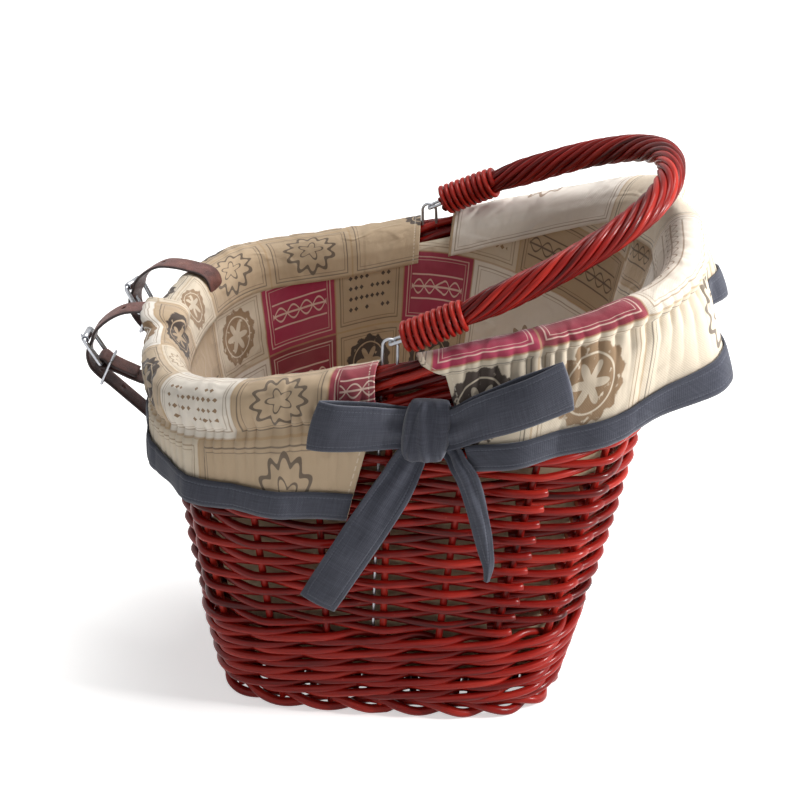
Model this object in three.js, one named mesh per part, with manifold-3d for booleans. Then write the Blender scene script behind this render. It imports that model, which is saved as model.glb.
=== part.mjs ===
// Wicker bicycle basket with a twisted willow bail, two leather handlebar straps and a tied cloth liner.
// Millimetres, +Z up, the ground at z = 0. +X points away from the handlebar. The dimensions below count
// x from the middle of the foot; the finished group is moved so that x = 0 is the middle of its whole length.
import * as THREE from "three";
import { mergeVertices } from "three/addons/utils/BufferGeometryUtils.js";
import Module from "manifold-3d";

const wasm = await Module();
wasm.setup();

// Driving dimensions

// Willow shell
const FOOT_HEIGHT = 12;
const FOOT_WIDTH = 13;
const FOOT_WORN = 0.6;
const BASE_LENGTH = 227;
const BASE_WIDTH = 163;
const BASE_ROUNDNESS = 4;
const RIM_LENGTH = 362;
const RIM_WIDTH = 248;
const RIM_ROUNDNESS = 3.66;
const RIM_LEAN = 24;
const RIM_HEIGHT_STRAP_END = 240.5;
const RIM_HEIGHT_FRONT = 325.5;
const RIM_SADDLE = 6.5;
const MIDDLE_OF_LENGTH = -0.887;
const WALL = 9;
const LOWER_WALE_TOP = 67;
const UPPER_WALE_HEIGHT = 30;
const COURSES = 10;
const WALE_ROWS = 8;
const RELIEF_AT_STAKE = 1;
const RELIEF_OF_CROSSING = 2.2;
const RELIEF_BETWEEN_STAKES = 4;
const BORDER_WIDTH = 16;
const BORDER_HEIGHT = 22;
const BORDER_ROUNDNESS = 2.5;
const FOOT_ROUNDNESS = 3.2;
const STAKES_PER_QUARTER = 5;
const STAKE_DIAMETER = 5.2;
const CENTRE_STAKE_RIM_X = 15;
const CENTRE_STAKE_BASE_X = 4;
const PANEL_THICKNESS = 8;
const BASE_STICK_DIAMETER = 5;
const BASE_STICK_COUNT = 3;
const BASE_STICK_PITCH = 40;

// Bail
const HINGE_X = 13;
const HINGE_Z = 281.8;
const HINGE_HALF_SPAN = 109;
const BAIL_REACH = 177;
const BAIL_HALF_WIDTH = 110.5;
const BAIL_ROUNDNESS = 2.3;
const BAIL_REST_ANGLE = 24.6;
const BAIL_DIAMETER = 18;
const BAIL_END_DIAMETER = 14.4;
const BAIL_END_FROM_HINGE = 9;
const WRAP_TURNS = 9;
const WRAP_ROD = 3.2;
const WRAP_PITCH = 4;
const WRAP_STEPS = 12;
const WRAP_SIDES = 5;
const WIRE_DIAMETER = 2;
const EYE_WIDTH = 9;
const EYE_DEPTH_IN_BAIL = 22;
const HANGER_BOW_RADIUS = 4.5;
const HANGER_SHORT_LEG = 16;
const HANGER_SHORT_LEG_LEAN = 4;
const HANGER_FOOT_Z = 72;

// Straps and buckles
const STRAP_ALONG_RIM = [12.4, 81];
const STRAP_TURN = [0, 20];
const STRAP_TAIL_OUT = [0, 7];
const STRAP_WIDTH = 16;
const STRAP_THICKNESS = 2.2;
const BUCKLE_WIRE = 3;
const ROLLER_WALL = 0.9;
const ROLLER_LENGTH = 15;
const PRONG_DIAMETER = 2.2;
const PRONG_SLEEVE_LENGTH = 2.6;
const PRONG_TIP_PAST_ROLLER = 2.5;
const PRONG_PLAY = 6;
const KEEPER_WIRE = 2;
const KEEPER_SLIDE = 2;
const HOLE_DIAMETER = 3.4;
const HOLE_PITCH = 19;
const HOLE_STEPS = [-2, -1, 1, 2];
const KEEPER_ALONG = 5;
const KEEPER_DROP = 13.3;

// Cloth
const CLOTH = 1.6;
const BAG_CLEARANCE = 3.4;
const CREST_CLEARANCE = 3;
const GATHER_DEPTH = { rear: 32, front: 13 };
const REAR_HEM_Z = 175;
const FRONT_HEM_DEPTH = 83;
const FRONT_HEM_RISE = 20;
const SKIRT_FLARE = { rear: 6, front: 10.2 };
const SKIRT_FLARE_AT_SLIT = { rear: 4, front: 3 };
const CORNER_FLARE = { rear: 0, front: 12 };
const CORNER_FROM_MIDDLE = 0.085;
const FOLD_HEIGHT = 2.4;
const FOLDS = 9;
const BAND_WIDTH = 18;
const BAND_THICKNESS = 1.2;
const SLIT_AT_CREST = { rear: 9, front: 13 };
const SLIT_AT_GATHER = { rear: 7, front: 34 };
const SLIT_AT_HEM = { rear: 24, front: 56 };
const ELASTIC_WIDTH = 6;
const ELASTIC_THICKNESS = 1;

// Fits
const GAP = 0.3;
const CHANNEL_CLEARANCE = 0.3;
const STAKE_END_CLEARANCE = 1;
const SLOT_CLEARANCE = 0.45;

// Materials
const finish = (color, roughness, metalness = 0) =>
  new THREE.MeshStandardMaterial({ color, roughness, metalness });
const willow = () => finish(0x7a1a16, 0.42);
const wire = () => finish(0xb9bcc2, 0.3, 1);
const leather = () => finish(0x3a2422, 0.55);
const nickel = () => finish(0xc8c9cc, 0.18, 1);
const linerCloth = () => finish(0xdccbb0, 0.9);
const bandCloth = () => finish(0x565a66, 0.88);

const group = new THREE.Group();
const radians = THREE.MathUtils.degToRad;
const lerp = THREE.MathUtils.lerp;

// Solids: closed meshes to and from the boolean library

function toSolid(geometry) {
  const bare = geometry.clone();
  bare.deleteAttribute("normal");
  bare.deleteAttribute("uv");
  const merged = mergeVertices(bare, 1e-4);
  const vertProperties = new Float32Array(merged.attributes.position.array);
  const triVerts = new Uint32Array(merged.index.array);
  return new wasm.Manifold(new wasm.Mesh({ numProp: 3, vertProperties, triVerts }));
}

function toGeometry(solid) {
  const { vertProperties, triVerts } = solid.getMesh();
  const geometry = new THREE.BufferGeometry();
  geometry.setAttribute("position", new THREE.BufferAttribute(new Float32Array(vertProperties), 3));
  geometry.setIndex(new THREE.BufferAttribute(new Uint32Array(triVerts), 1));
  return geometry;
}

function cut(geometry, tools) {
  let solid = toSolid(geometry);
  for (const tool of tools) {
    solid = solid.subtract(toSolid(tool));
  }
  return toGeometry(solid);
}

function join(geometries) {
  let solid = toSolid(geometries[0]);
  for (const geometry of geometries.slice(1)) {
    solid = solid.add(toSolid(geometry));
  }
  return toGeometry(solid);
}

function addMesh(parent, name, geometry, material) {
  const mesh = new THREE.Mesh(geometry, material);
  mesh.geometry.computeVertexNormals();
  mesh.name = name;
  parent.add(mesh);
  return mesh;
}

// A skin between two grids of points, outer and inner, closed at its edges.
// grid[station][row]; a closed skin joins its last station to its first, and its two grids
// need not have as many rows as each other.
function skin(outer, inner, closed) {
  const stations = outer.length;
  const rows = [outer[0].length, inner[0].length];
  const positions = [];
  for (const grid of [outer, inner]) {
    for (const station of grid) {
      for (const point of station) {
        positions.push(point.x, point.y, point.z);
      }
    }
  }
  const id = (side, station, row) => side * stations * rows[0] + (station % stations) * rows[side] + row;
  const index = [];
  const quad = (a, b, c, d) => index.push(a, b, c, a, c, d);
  const last = closed ? stations : stations - 1;
  for (let s = 0; s < last; s++) {
    for (let r = 0; r < rows[0] - 1; r++) {
      quad(id(0, s, r), id(0, s + 1, r), id(0, s + 1, r + 1), id(0, s, r + 1));
    }
    for (let r = 0; r < rows[1] - 1; r++) {
      quad(id(1, s, r), id(1, s, r + 1), id(1, s + 1, r + 1), id(1, s + 1, r));
    }
    const [topOuter, topInner] = [rows[0] - 1, rows[1] - 1];
    quad(id(0, s, 0), id(1, s, 0), id(1, s + 1, 0), id(0, s + 1, 0));
    quad(id(0, s, topOuter), id(0, s + 1, topOuter), id(1, s + 1, topInner), id(1, s, topInner));
  }
  if (!closed) {
    for (let r = 0; r < rows[0] - 1; r++) {
      quad(id(0, 0, r), id(0, 0, r + 1), id(1, 0, r + 1), id(1, 0, r));
      quad(id(0, last, r), id(1, last, r), id(1, last, r + 1), id(0, last, r + 1));
    }
  }
  const geometry = new THREE.BufferGeometry();
  geometry.setAttribute("position", new THREE.Float32BufferAttribute(positions, 3));
  geometry.setIndex(index);
  return outwards(geometry);
}

// Turns a closed mesh's faces outwards, by the sign of its volume.
function outwards(geometry) {
  const p = geometry.attributes.position;
  const index = geometry.index.array;
  const [a, b, c] = [new THREE.Vector3(), new THREE.Vector3(), new THREE.Vector3()];
  let volume = 0;
  for (let i = 0; i < index.length; i += 3) {
    a.fromBufferAttribute(p, index[i]);
    b.fromBufferAttribute(p, index[i + 1]);
    c.fromBufferAttribute(p, index[i + 2]);
    volume += a.dot(b.cross(c));
  }
  if (volume < 0) {
    for (let i = 0; i < index.length; i += 3) {
      [index[i + 1], index[i + 2]] = [index[i + 2], index[i + 1]];
    }
  }
  return geometry;
}

// A tube whose radius may change, round sections square to a path of points; closed paths are rings.
function sweep(points, radiusAt, sides, closed = false) {
  const count = points.length;
  const rings = points.map((point, i) => {
    const before = points[closed ? (i + count - 1) % count : Math.max(i - 1, 0)];
    const after = points[closed ? (i + 1) % count : Math.min(i + 1, count - 1)];
    return { point, along: after.clone().sub(before).normalize() };
  });
  let side = new THREE.Vector3(0, 1, 0);
  if (Math.abs(rings[0].along.dot(side)) > 0.8) {
    side = new THREE.Vector3(0, 0, 1);
  }
  const positions = [];
  rings.forEach(({ point, along }, i) => {
    side = side.clone().addScaledVector(along, -side.dot(along)).normalize();
    const up = new THREE.Vector3().crossVectors(along, side);
    for (let k = 0; k < sides; k++) {
      const turn = (2 * Math.PI * k) / sides;
      const r = radiusAt(i);
      const corner = point.clone();
      corner.addScaledVector(side, r * Math.cos(turn));
      corner.addScaledVector(up, r * Math.sin(turn));
      positions.push(corner.x, corner.y, corner.z);
    }
  });
  const index = [];
  const last = closed ? count : count - 1;
  for (let i = 0; i < last; i++) {
    for (let k = 0; k < sides; k++) {
      const a = i * sides + k;
      const b = i * sides + ((k + 1) % sides);
      const c = ((i + 1) % count) * sides + ((k + 1) % sides);
      const d = ((i + 1) % count) * sides + k;
      index.push(a, b, c, a, c, d);
    }
  }
  if (!closed) {
    for (let k = 1; k < sides - 1; k++) {
      index.push(0, k + 1, k);
      const first = (count - 1) * sides;
      index.push(first, first + k, first + k + 1);
    }
  }
  const geometry = new THREE.BufferGeometry();
  geometry.setAttribute("position", new THREE.Float32BufferAttribute(positions, 3));
  geometry.setIndex(index);
  return outwards(geometry);
}

// The shell: a ruled wall between the base outline and the rim outline

const power = (value, exponent) => Math.sign(value) * Math.abs(value) ** exponent;

// One outline as a rounded rectangle (superellipse), measured by arc length on its near half.
// A fraction of 0 is the front end, 0.25 the centre stake of the near side, 0.5 the strap end,
// 0.75 the centre stake of the far side.
class Outline {
  constructor(length, width, roundness, centreX, stakeX) {
    Object.assign(this, { halfLength: length / 2, halfWidth: width / 2, roundness, centreX });
    this.samples = 720;
    this.lengths = [0];
    let before = this.onNearSide(0, 0);
    let stake = null;
    for (let i = 1; i <= this.samples; i++) {
      const point = this.onNearSide((Math.PI * i) / this.samples, 0);
      this.lengths.push(this.lengths[i - 1] + point.distanceTo(before));
      if (stake === null && point.x <= stakeX) {
        stake = this.lengths[i];
      }
      before = point;
    }
    this.halfPerimeter = this.lengths[this.samples];
    this.stakeLength = stake;
  }

  onNearSide(angle, offset) {
    const exponent = 2 / this.roundness;
    const x = this.centreX + (this.halfLength + offset) * power(Math.cos(angle), exponent);
    const y = -(this.halfWidth + offset) * power(Math.sin(angle), exponent);
    return new THREE.Vector2(x, y);
  }

  angleAt(fraction) {
    const length = fraction < 0.25
      ? (fraction / 0.25) * this.stakeLength
      : lerp(this.stakeLength, this.halfPerimeter, (fraction - 0.25) / 0.25);
    let i = 1;
    while (i < this.samples && this.lengths[i] < length) {
      i++;
    }
    const part = (length - this.lengths[i - 1]) / (this.lengths[i] - this.lengths[i - 1]);
    return (Math.PI * (i - 1 + part)) / this.samples;
  }

  at(fraction, offset = 0) {
    const wrapped = ((fraction % 1) + 1) % 1;
    const near = wrapped <= 0.5;
    const point = this.onNearSide(this.angleAt(near ? wrapped : 1 - wrapped), offset);
    return new THREE.Vector2(point.x, near ? point.y : -point.y);
  }
}

const baseOutline = new Outline(BASE_LENGTH, BASE_WIDTH, BASE_ROUNDNESS, 0, CENTRE_STAKE_BASE_X);
const rimOutline = new Outline(RIM_LENGTH, RIM_WIDTH, RIM_ROUNDNESS, RIM_LEAN, CENTRE_STAKE_RIM_X);

// Height of the rim over the ground: a slope with its lowest part saddled at the sides
function rimHeight(x) {
  const along = (x - RIM_LEAN) / (RIM_LENGTH / 2);
  const slope = lerp(RIM_HEIGHT_STRAP_END, RIM_HEIGHT_FRONT, (along + 1) / 2);
  return slope - RIM_SADDLE * (1 - along * along);
}

// A point of the ruled wall, pushed out by offset, at a height over the ground
function wallAtHeight(fraction, offset, z) {
  const low = baseOutline.at(fraction, offset);
  const high = rimOutline.at(fraction, offset);
  const top = rimHeight(rimOutline.at(fraction).x);
  const part = (z - FOOT_HEIGHT) / (top - FOOT_HEIGHT);
  return new THREE.Vector3(lerp(low.x, high.x, part), lerp(low.y, high.y, part), z);
}

// The same, at a depth under the rim
function wallAtDepth(fraction, offset, depth) {
  return wallAtHeight(fraction, offset, rimHeight(rimOutline.at(fraction).x) - depth);
}

const STATIONS = 8 * STAKES_PER_QUARTER;
const stations = Array.from({ length: STATIONS }, (_, k) => k / STATIONS);

// A closed band round the shell between two edges, each a function of fraction and offset
function band(lower, upper, outerOffset, innerOffset) {
  const outer = stations.map((f) => [lower(f, outerOffset), upper(f, outerOffset)]);
  const inner = stations.map((f) => [lower(f, innerOffset), upper(f, innerOffset)]);
  return skin(outer, inner, true);
}

// The same with the weave's main relief on its outside, between edges that stay plain. An even
// station is a stake's, an odd one is halfway between two stakes, where the relief can be deeper.
function woven(lower, upper, rows, relief) {
  const outer = stations.map((f, s) =>
    Array.from({ length: rows + 1 }, (_, r) => {
      const inward = r % rows === 0 ? 0 : -relief(s, r);
      return lower(f, inward).lerp(upper(f, inward), r / rows);
    }));
  const inner = stations.map((f) => [lower(f, -WALL), upper(f, -WALL)]);
  return skin(outer, inner, true);
}

// Siding: courses that pass outside one stake and inside the next, with a groove between courses
function courseRelief(s, r) {
  const onStake = s % 2 === 0;
  if (r % 2 === 0) {
    return onStake ? RELIEF_AT_STAKE : RELIEF_BETWEEN_STAKES;
  }
  const outside = (s / 2 + (r - 1) / 2) % 2 === 0;
  return onStake ? (outside ? 0 : RELIEF_AT_STAKE) : RELIEF_OF_CROSSING;
}

// Wale: strokes that climb by half a stake's distance from row to row
function waleRelief(s, r) {
  if ((s + r) % 4 < 2) {
    return 0;
  }
  return s % 2 === 0 ? RELIEF_AT_STAKE : RELIEF_BETWEEN_STAKES;
}

// Stakes: straight rods in the middle of the wall, between the foot border and the top border

const stakeCount = 4 * STAKES_PER_QUARTER;
const stakeFractions = Array.from({ length: stakeCount }, (_, k) => k / stakeCount);
const borderBottomDepth = CREST_CLEARANCE + BORDER_HEIGHT;
const upperWaleTopDepth = borderBottomDepth + GAP;
const upperWaleBottomDepth = upperWaleTopDepth + UPPER_WALE_HEIGHT;

function straightRod(from, to, diameter, sides = 6) {
  const length = from.distanceTo(to);
  const geometry = new THREE.CylinderGeometry(diameter / 2, diameter / 2, length, sides);
  const direction = to.clone().sub(from).normalize();
  const turn = new THREE.Quaternion().setFromUnitVectors(new THREE.Vector3(0, 1, 0), direction);
  const middle = from.clone().add(to).multiplyScalar(0.5);
  return geometry.applyMatrix4(new THREE.Matrix4().compose(middle, turn, new THREE.Vector3(1, 1, 1)));
}

function stakeLine(fraction) {
  const foot = wallAtHeight(fraction, -WALL / 2, FOOT_HEIGHT + STAKE_END_CLEARANCE);
  const head = wallAtDepth(fraction, -WALL / 2, borderBottomDepth + STAKE_END_CLEARANCE);
  return [foot, head];
}

const channels = stakeFractions.map((fraction) => {
  const [foot, head] = stakeLine(fraction);
  const past = head.clone().sub(foot).multiplyScalar(0.02);
  return straightRod(foot.clone().sub(past), head.clone().add(past), STAKE_DIAMETER + 2 * CHANNEL_CLEARANCE);
});

stakeFractions.forEach((fraction, k) => {
  const [foot, head] = stakeLine(fraction);
  const name = `stake_${String(k + 1).padStart(2, "0")}`;
  addMesh(group, name, straightRod(foot, head, STAKE_DIAMETER), willow());
});

// Rings of the shell, from the ground up

// A closed ring with a rounded section: a superellipse round a centre line on the wall
function roundedRing(centreAt, halfWidth, halfHeight, roundness, corners) {
  const exponent = 2 / roundness;
  const point = (f, turn, grow) => {
    const out = (halfWidth + grow) * power(Math.cos(turn), exponent);
    const up = (halfHeight + grow) * power(Math.sin(turn), exponent);
    return centreAt(f, out, up);
  };
  const half = (from) => stations.map((f) =>
    Array.from({ length: corners }, (_, i) => point(f, from + (Math.PI * (i + 0.5)) / corners, 0)));
  const upperHalf = half(0);
  const lowerHalf = half(Math.PI).map((row) => row.reverse());
  return skin(upperHalf, lowerHalf, true);
}

// Foot border, worn flat underneath where it stands
const footCentre = (f, out, up) => {
  const point = baseOutline.at(f, -FOOT_WIDTH / 2 + out);
  return new THREE.Vector3(point.x, point.y, Math.max((FOOT_HEIGHT - FOOT_WORN) / 2 + up, 0));
};
const foot = roundedRing(footCentre, FOOT_WIDTH / 2, (FOOT_HEIGHT + FOOT_WORN) / 2, FOOT_ROUNDNESS, 4);
addMesh(group, "foot_border", foot, willow());

// Base panel, woven round its sticks, which lie in channels along it
const panelBottom = FOOT_HEIGHT + GAP;
const panelTop = panelBottom + PANEL_THICKNESS;
const panelOffset = -(WALL + GAP);
const panelOutline = stations.map((f) => baseOutline.at(f, panelOffset));
const panelShape = new THREE.Shape(panelOutline);
const panelSlab = new THREE.ExtrudeGeometry(panelShape, { depth: PANEL_THICKNESS, bevelEnabled: false });
panelSlab.translate(0, 0, panelBottom);
const stickHeight = (panelBottom + panelTop) / 2;
const stickRows = Array.from({ length: BASE_STICK_COUNT }, (_, k) =>
  (k - (BASE_STICK_COUNT - 1) / 2) * BASE_STICK_PITCH);
const stickReach = BASE_LENGTH / 2 + panelOffset - 4;
const stickSpan = (y, reach, diameter) => straightRod(
  new THREE.Vector3(-reach, y, stickHeight), new THREE.Vector3(reach, y, stickHeight), diameter);
const stickChannels = stickRows.map((y) =>
  stickSpan(y, stickReach + 2 * PANEL_THICKNESS, BASE_STICK_DIAMETER + 2 * CHANNEL_CLEARANCE));
addMesh(group, "base_panel", cut(panelSlab, stickChannels), willow());
stickRows.forEach((y, k) => {
  addMesh(group, `base_stick_${k + 1}`, stickSpan(y, stickReach, BASE_STICK_DIAMETER), willow());
});

// Hangers: one length of wire each, bent over the bail's eye, its long leg going down beside the centre stake
const hangerBowZ = HINGE_Z - (HANGER_BOW_RADIUS - WIRE_DIAMETER - GAP);
function hangerPoints(sign) {
  const fraction = sign < 0 ? 0.25 : 0.75;
  const top = new THREE.Vector3(HINGE_X, sign * HINGE_HALF_SPAN, hangerBowZ);
  const low = wallAtHeight(fraction, -WALL / 2, HANGER_FOOT_Z);
  const beside = STAKE_DIAMETER / 2 + CHANNEL_CLEARANCE + WIRE_DIAMETER + 1;
  low.x -= beside;
  const bow = [];
  for (let k = 0; k <= 6; k++) {
    const turn = Math.PI * (1 - k / 6);
    bow.push(new THREE.Vector3(
      top.x + HANGER_BOW_RADIUS * Math.cos(turn), top.y, top.z + HANGER_BOW_RADIUS * Math.sin(turn)));
  }
  const neck = wallAtDepth(fraction, -WALL / 2, upperWaleTopDepth - 2);
  neck.x = bow[0].x - 0.6;
  const shortEnd = bow[6].clone().add(new THREE.Vector3(0, sign * HANGER_SHORT_LEG_LEAN, -HANGER_SHORT_LEG));
  return [low, neck, ...bow, shortEnd];
}

// The same path, a little longer at both ends, as the hole that the wire lies in
function lengthened(points, extra) {
  const first = points[0].clone().sub(points[1]).setLength(extra).add(points[0]);
  const end = points.length - 1;
  const last = points[end].clone().sub(points[end - 1]).setLength(extra).add(points[end]);
  return [first, ...points.slice(1, end), last];
}

const hangers = [-1, 1].map((sign) => hangerPoints(sign));
const hangerChannels = hangers.map((points) =>
  sweep(lengthened(points, 2), () => WIRE_DIAMETER / 2 + CHANNEL_CLEARANCE, 6));
["hanger_wire_near", "hanger_wire_far"].forEach((name, k) => {
  addMesh(group, name, sweep(hangers[k], () => WIRE_DIAMETER / 2, 6), wire());
});

// Bail: a twisted willow hoop that turns on two wire eyes. Its own frame has the hinge line along Y
// and the hoop's reach along X.
const bail = new THREE.Group();
bail.position.set(HINGE_X, 0, HINGE_Z);
bail.rotation.y = -radians(BAIL_REST_ANGLE);
group.add(bail);

class BailCurve extends THREE.Curve {
  constructor() {
    super();
    this.exponent = 2 / BAIL_ROUNDNESS;
    this.last = Math.acos((BAIL_END_FROM_HINGE / BAIL_REACH) ** (1 / this.exponent));
  }

  getPoint(part, target = new THREE.Vector3()) {
    const turn = lerp(-this.last, this.last, part);
    const reach = BAIL_REACH * power(Math.cos(turn), this.exponent);
    return target.set(reach, BAIL_HALF_WIDTH * power(Math.sin(turn), this.exponent), 0);
  }
}

const bailCurve = new BailCurve();
bailCurve.arcLengthDivisions = 800;
const bailLength = bailCurve.getLength();
const wrapLength = WRAP_TURNS * WRAP_PITCH;
const wrapStart = 2.5;
const BAIL_STEPS = 44;
const BAIL_SIDES = 10;
const smooth = (value) => THREE.MathUtils.smoothstep(value, 0, 1);

function bailRadius(length) {
  const fromEnd = Math.min(length, bailLength - length) - (wrapStart + wrapLength);
  return lerp(BAIL_END_DIAMETER, BAIL_DIAMETER, smooth(fromEnd / 24)) / 2;
}

function eyePoints(sign) {
  const end = bailCurve.getPoint(sign < 0 ? 0 : 1).y;
  const half = (EYE_WIDTH - WIRE_DIAMETER) / 2;
  const bar = sign * HINGE_HALF_SPAN;
  const at = (x, y) => new THREE.Vector3(x, y, 0);
  return [
    at(EYE_DEPTH_IN_BAIL, end + half),
    at(2, bar + half),
    at(0.5, bar + half - 0.4),
    at(0, bar + half - 1.6),
    at(0, bar - half + 1.6),
    at(0.5, bar - half + 0.4),
    at(2, bar - half),
    at(EYE_DEPTH_IN_BAIL, end - half),
  ];
}

const bailPoints = bailCurve.getSpacedPoints(BAIL_STEPS);
const hoop = sweep(bailPoints, (i) => bailRadius((bailLength * i) / BAIL_STEPS), BAIL_SIDES);
const eyes = [-1, 1].map((sign) => eyePoints(sign));
const eyeBores = eyes.map((points) =>
  sweep(lengthened(points, 1.5), () => WIRE_DIAMETER / 2 + CHANNEL_CLEARANCE, 6));
addMesh(bail, "bail_hoop", cut(hoop, eyeBores), willow());
["bail_eye_near", "bail_eye_far"].forEach((name, k) => {
  addMesh(bail, name, sweep(eyes[k], () => WIRE_DIAMETER / 2, 6), wire());
});

// Each end of the bail is bound with a thin rod, wound as one helix, with a straight tail at both ends
function wrapPoints(atFarEnd) {
  const radius = BAIL_END_DIAMETER / 2 + 1.8 * GAP + WRAP_ROD / 2;
  const points = [];
  const count = WRAP_TURNS * WRAP_STEPS;
  for (let i = 0; i <= count; i++) {
    const length = wrapStart + (wrapLength * i) / count;
    const part = atFarEnd ? 1 - length / bailLength : length / bailLength;
    const centre = bailCurve.getPointAt(part);
    const along = bailCurve.getTangentAt(part);
    const across = new THREE.Vector3(along.y, -along.x, 0);
    const turn = (2 * Math.PI * i) / WRAP_STEPS + Math.PI / 4;
    centre.addScaledVector(across, radius * Math.cos(turn));
    centre.z += radius * Math.sin(turn);
    points.push(centre);
  }
  return points;
}

// The least gap between one turn and the next, measured between points at least half a turn apart
function leastGap(points, diameter, apart) {
  let least = Infinity;
  for (let i = 0; i < points.length; i++) {
    for (let k = i + apart; k < points.length; k++) {
      least = Math.min(least, points[i].distanceTo(points[k]) - diameter);
    }
  }
  return least;
}

["bail_wrap_near", "bail_wrap_far"].forEach((name, k) => {
  const points = wrapPoints(k === 1);
  console.log(`${name}: least gap to itself ${leastGap(points, WRAP_ROD, WRAP_STEPS / 2).toFixed(2)} mm`);
  addMesh(bail, name, sweep(lengthened(points, WRAP_ROD), () => WRAP_ROD / 2, WRAP_SIDES), willow());
});

// Straps: one belt each, in the plane of its own frame. u is outwards from the rim, h is up, w is along
// the belt's width. The belt starts at the doubled end, folds round the buckle's heel bar, goes through
// the shell under the border, up inside it, over the rim, through the buckle and down as a free tail.
const HEEL = new THREE.Vector2(34.6, -35.5);
const ROLLER = new THREE.Vector2(44.7, -18.5);
const DOUBLE_SLOPE = radians(24);
const toRim = new THREE.Vector2(-Math.cos(DOUBLE_SLOPE), -Math.sin(DOUBLE_SLOPE));
const underSide = new THREE.Vector2(Math.sin(DOUBLE_SLOPE), -Math.cos(DOUBLE_SLOPE));
const fromHeel = (along, under) =>
  HEEL.clone().addScaledVector(toRim, along).addScaledVector(underSide, under);
const layer = STRAP_THICKNESS / 2 + GAP / 2;
const foldRadius = BUCKLE_WIRE / 2 + 1.5 * GAP + STRAP_THICKNESS / 2;
const DOUBLE_LENGTH = 24;

const foldPoints = [];
for (let k = 0; k <= 6; k++) {
  const turn = -Math.PI / 2 + (Math.PI * k) / 6;
  foldPoints.push(fromHeel(-foldRadius * Math.cos(turn), foldRadius * Math.sin(turn)));
}

const beltRoute = (tailOut) => [
  fromHeel(DOUBLE_LENGTH, -layer),
  fromHeel(10, -layer),
  fromHeel(4, -1.9),
  ...foldPoints,
  fromHeel(4, 1.9),
  fromHeel(10, layer),
  fromHeel(DOUBLE_LENGTH - 2, layer),
  new THREE.Vector2(6, -48.6),
  new THREE.Vector2(-5, -49),
  new THREE.Vector2(-16, -49),
  new THREE.Vector2(-19.6, -48),
  new THREE.Vector2(-20.6, -45),
  new THREE.Vector2(-19.8, -40),
  new THREE.Vector2(-18.4, -32),
  new THREE.Vector2(-18.9, -25),
  new THREE.Vector2(-20.1, -15),
  new THREE.Vector2(-20.4, -8),
  new THREE.Vector2(-18.6, -2),
  new THREE.Vector2(-14, 1.4),
  new THREE.Vector2(-4, 2.4),
  new THREE.Vector2(8, 2.6),
  new THREE.Vector2(20, 0.6),
  new THREE.Vector2(31, -6),
  new THREE.Vector2(38.6, -14.2),
  new THREE.Vector2(40.7, -20.6),
  new THREE.Vector2(43.4, -26),
  new THREE.Vector2(44, -32),
  new THREE.Vector2(42.2, -38.4),
  new THREE.Vector2(37.8, -43.8),
  new THREE.Vector2(30, -50.4),
  new THREE.Vector2(20 + 0.6 * tailOut, -59.6),
  new THREE.Vector2(6 + tailOut, -72.6),
  new THREE.Vector2(1.2 * tailOut, -79),
];

// The stretch of the route that lies in the shell, with one point to spare at both ends
const SHELL_STRETCH = { first: 12, last: 27 };

class BeltCurve extends THREE.Curve {
  constructor(route) {
    super();
    const points = route.map((p) => new THREE.Vector3(p.x, p.y, 0));
    this.spline = new THREE.CatmullRomCurve3(points, false, "centripetal");
  }

  // The belt's two faces at the same pitch as its route's points, as one closed outline
  outline(half, perPoint) {
    const count = (this.spline.points.length - 1) * perPoint;
    const left = [];
    const right = [];
    for (let i = 0; i <= count; i++) {
      const point = this.spline.getPoint(i / count);
      const along = this.spline.getTangent(i / count);
      left.push(new THREE.Vector2(point.x - along.y * half, point.y + along.x * half));
      right.push(new THREE.Vector2(point.x + along.y * half, point.y - along.x * half));
    }
    return [...left, ...right.reverse()];
  }
}

const beltHalf = STRAP_THICKNESS / 2;
const belts = STRAP_TAIL_OUT.map((tailOut) => new BeltCurve(beltRoute(tailOut)));
const shellStretch = new BeltCurve(beltRoute(0).slice(SHELL_STRETCH.first, SHELL_STRETCH.last));
const frameLine = ROLLER.clone().sub(HEEL);
const frameLength = frameLine.length();
const towardRoller = frameLine.clone().normalize();
const outward = new THREE.Vector2(towardRoller.y, -towardRoller.x);
const fromFrame = (along, out) =>
  HEEL.clone().addScaledVector(towardRoller, along).addScaledVector(outward, out);

// An outline in the strap's plane, as a block of a given width round that plane
function acrossBelt(outline, width) {
  const geometry = new THREE.ExtrudeGeometry(new THREE.Shape(outline), { depth: width, bevelEnabled: false });
  return geometry.translate(0, 0, -width / 2);
}

function pinAcross(centre, diameter, width, sides) {
  const geometry = new THREE.CylinderGeometry(diameter / 2, diameter / 2, width, sides);
  return geometry.rotateX(Math.PI / 2).translate(centre.x, centre.y, 0);
}

// Prong: a sleeve on the heel bar and a pin that rests on the roller
const sleeveBore = BUCKLE_WIRE + 2 * GAP;
const sleeveDiameter = sleeveBore + 2.8;
const rollerDiameter = BUCKLE_WIRE + 2 * GAP + 2 * ROLLER_WALL;
const prongFoot = fromFrame(0, (sleeveBore + 1.2) / 2 + 0.3);
const prongTip = fromFrame(frameLength + PRONG_TIP_PAST_ROLLER, (rollerDiameter + PRONG_DIAMETER) / 2 + GAP);

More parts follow.
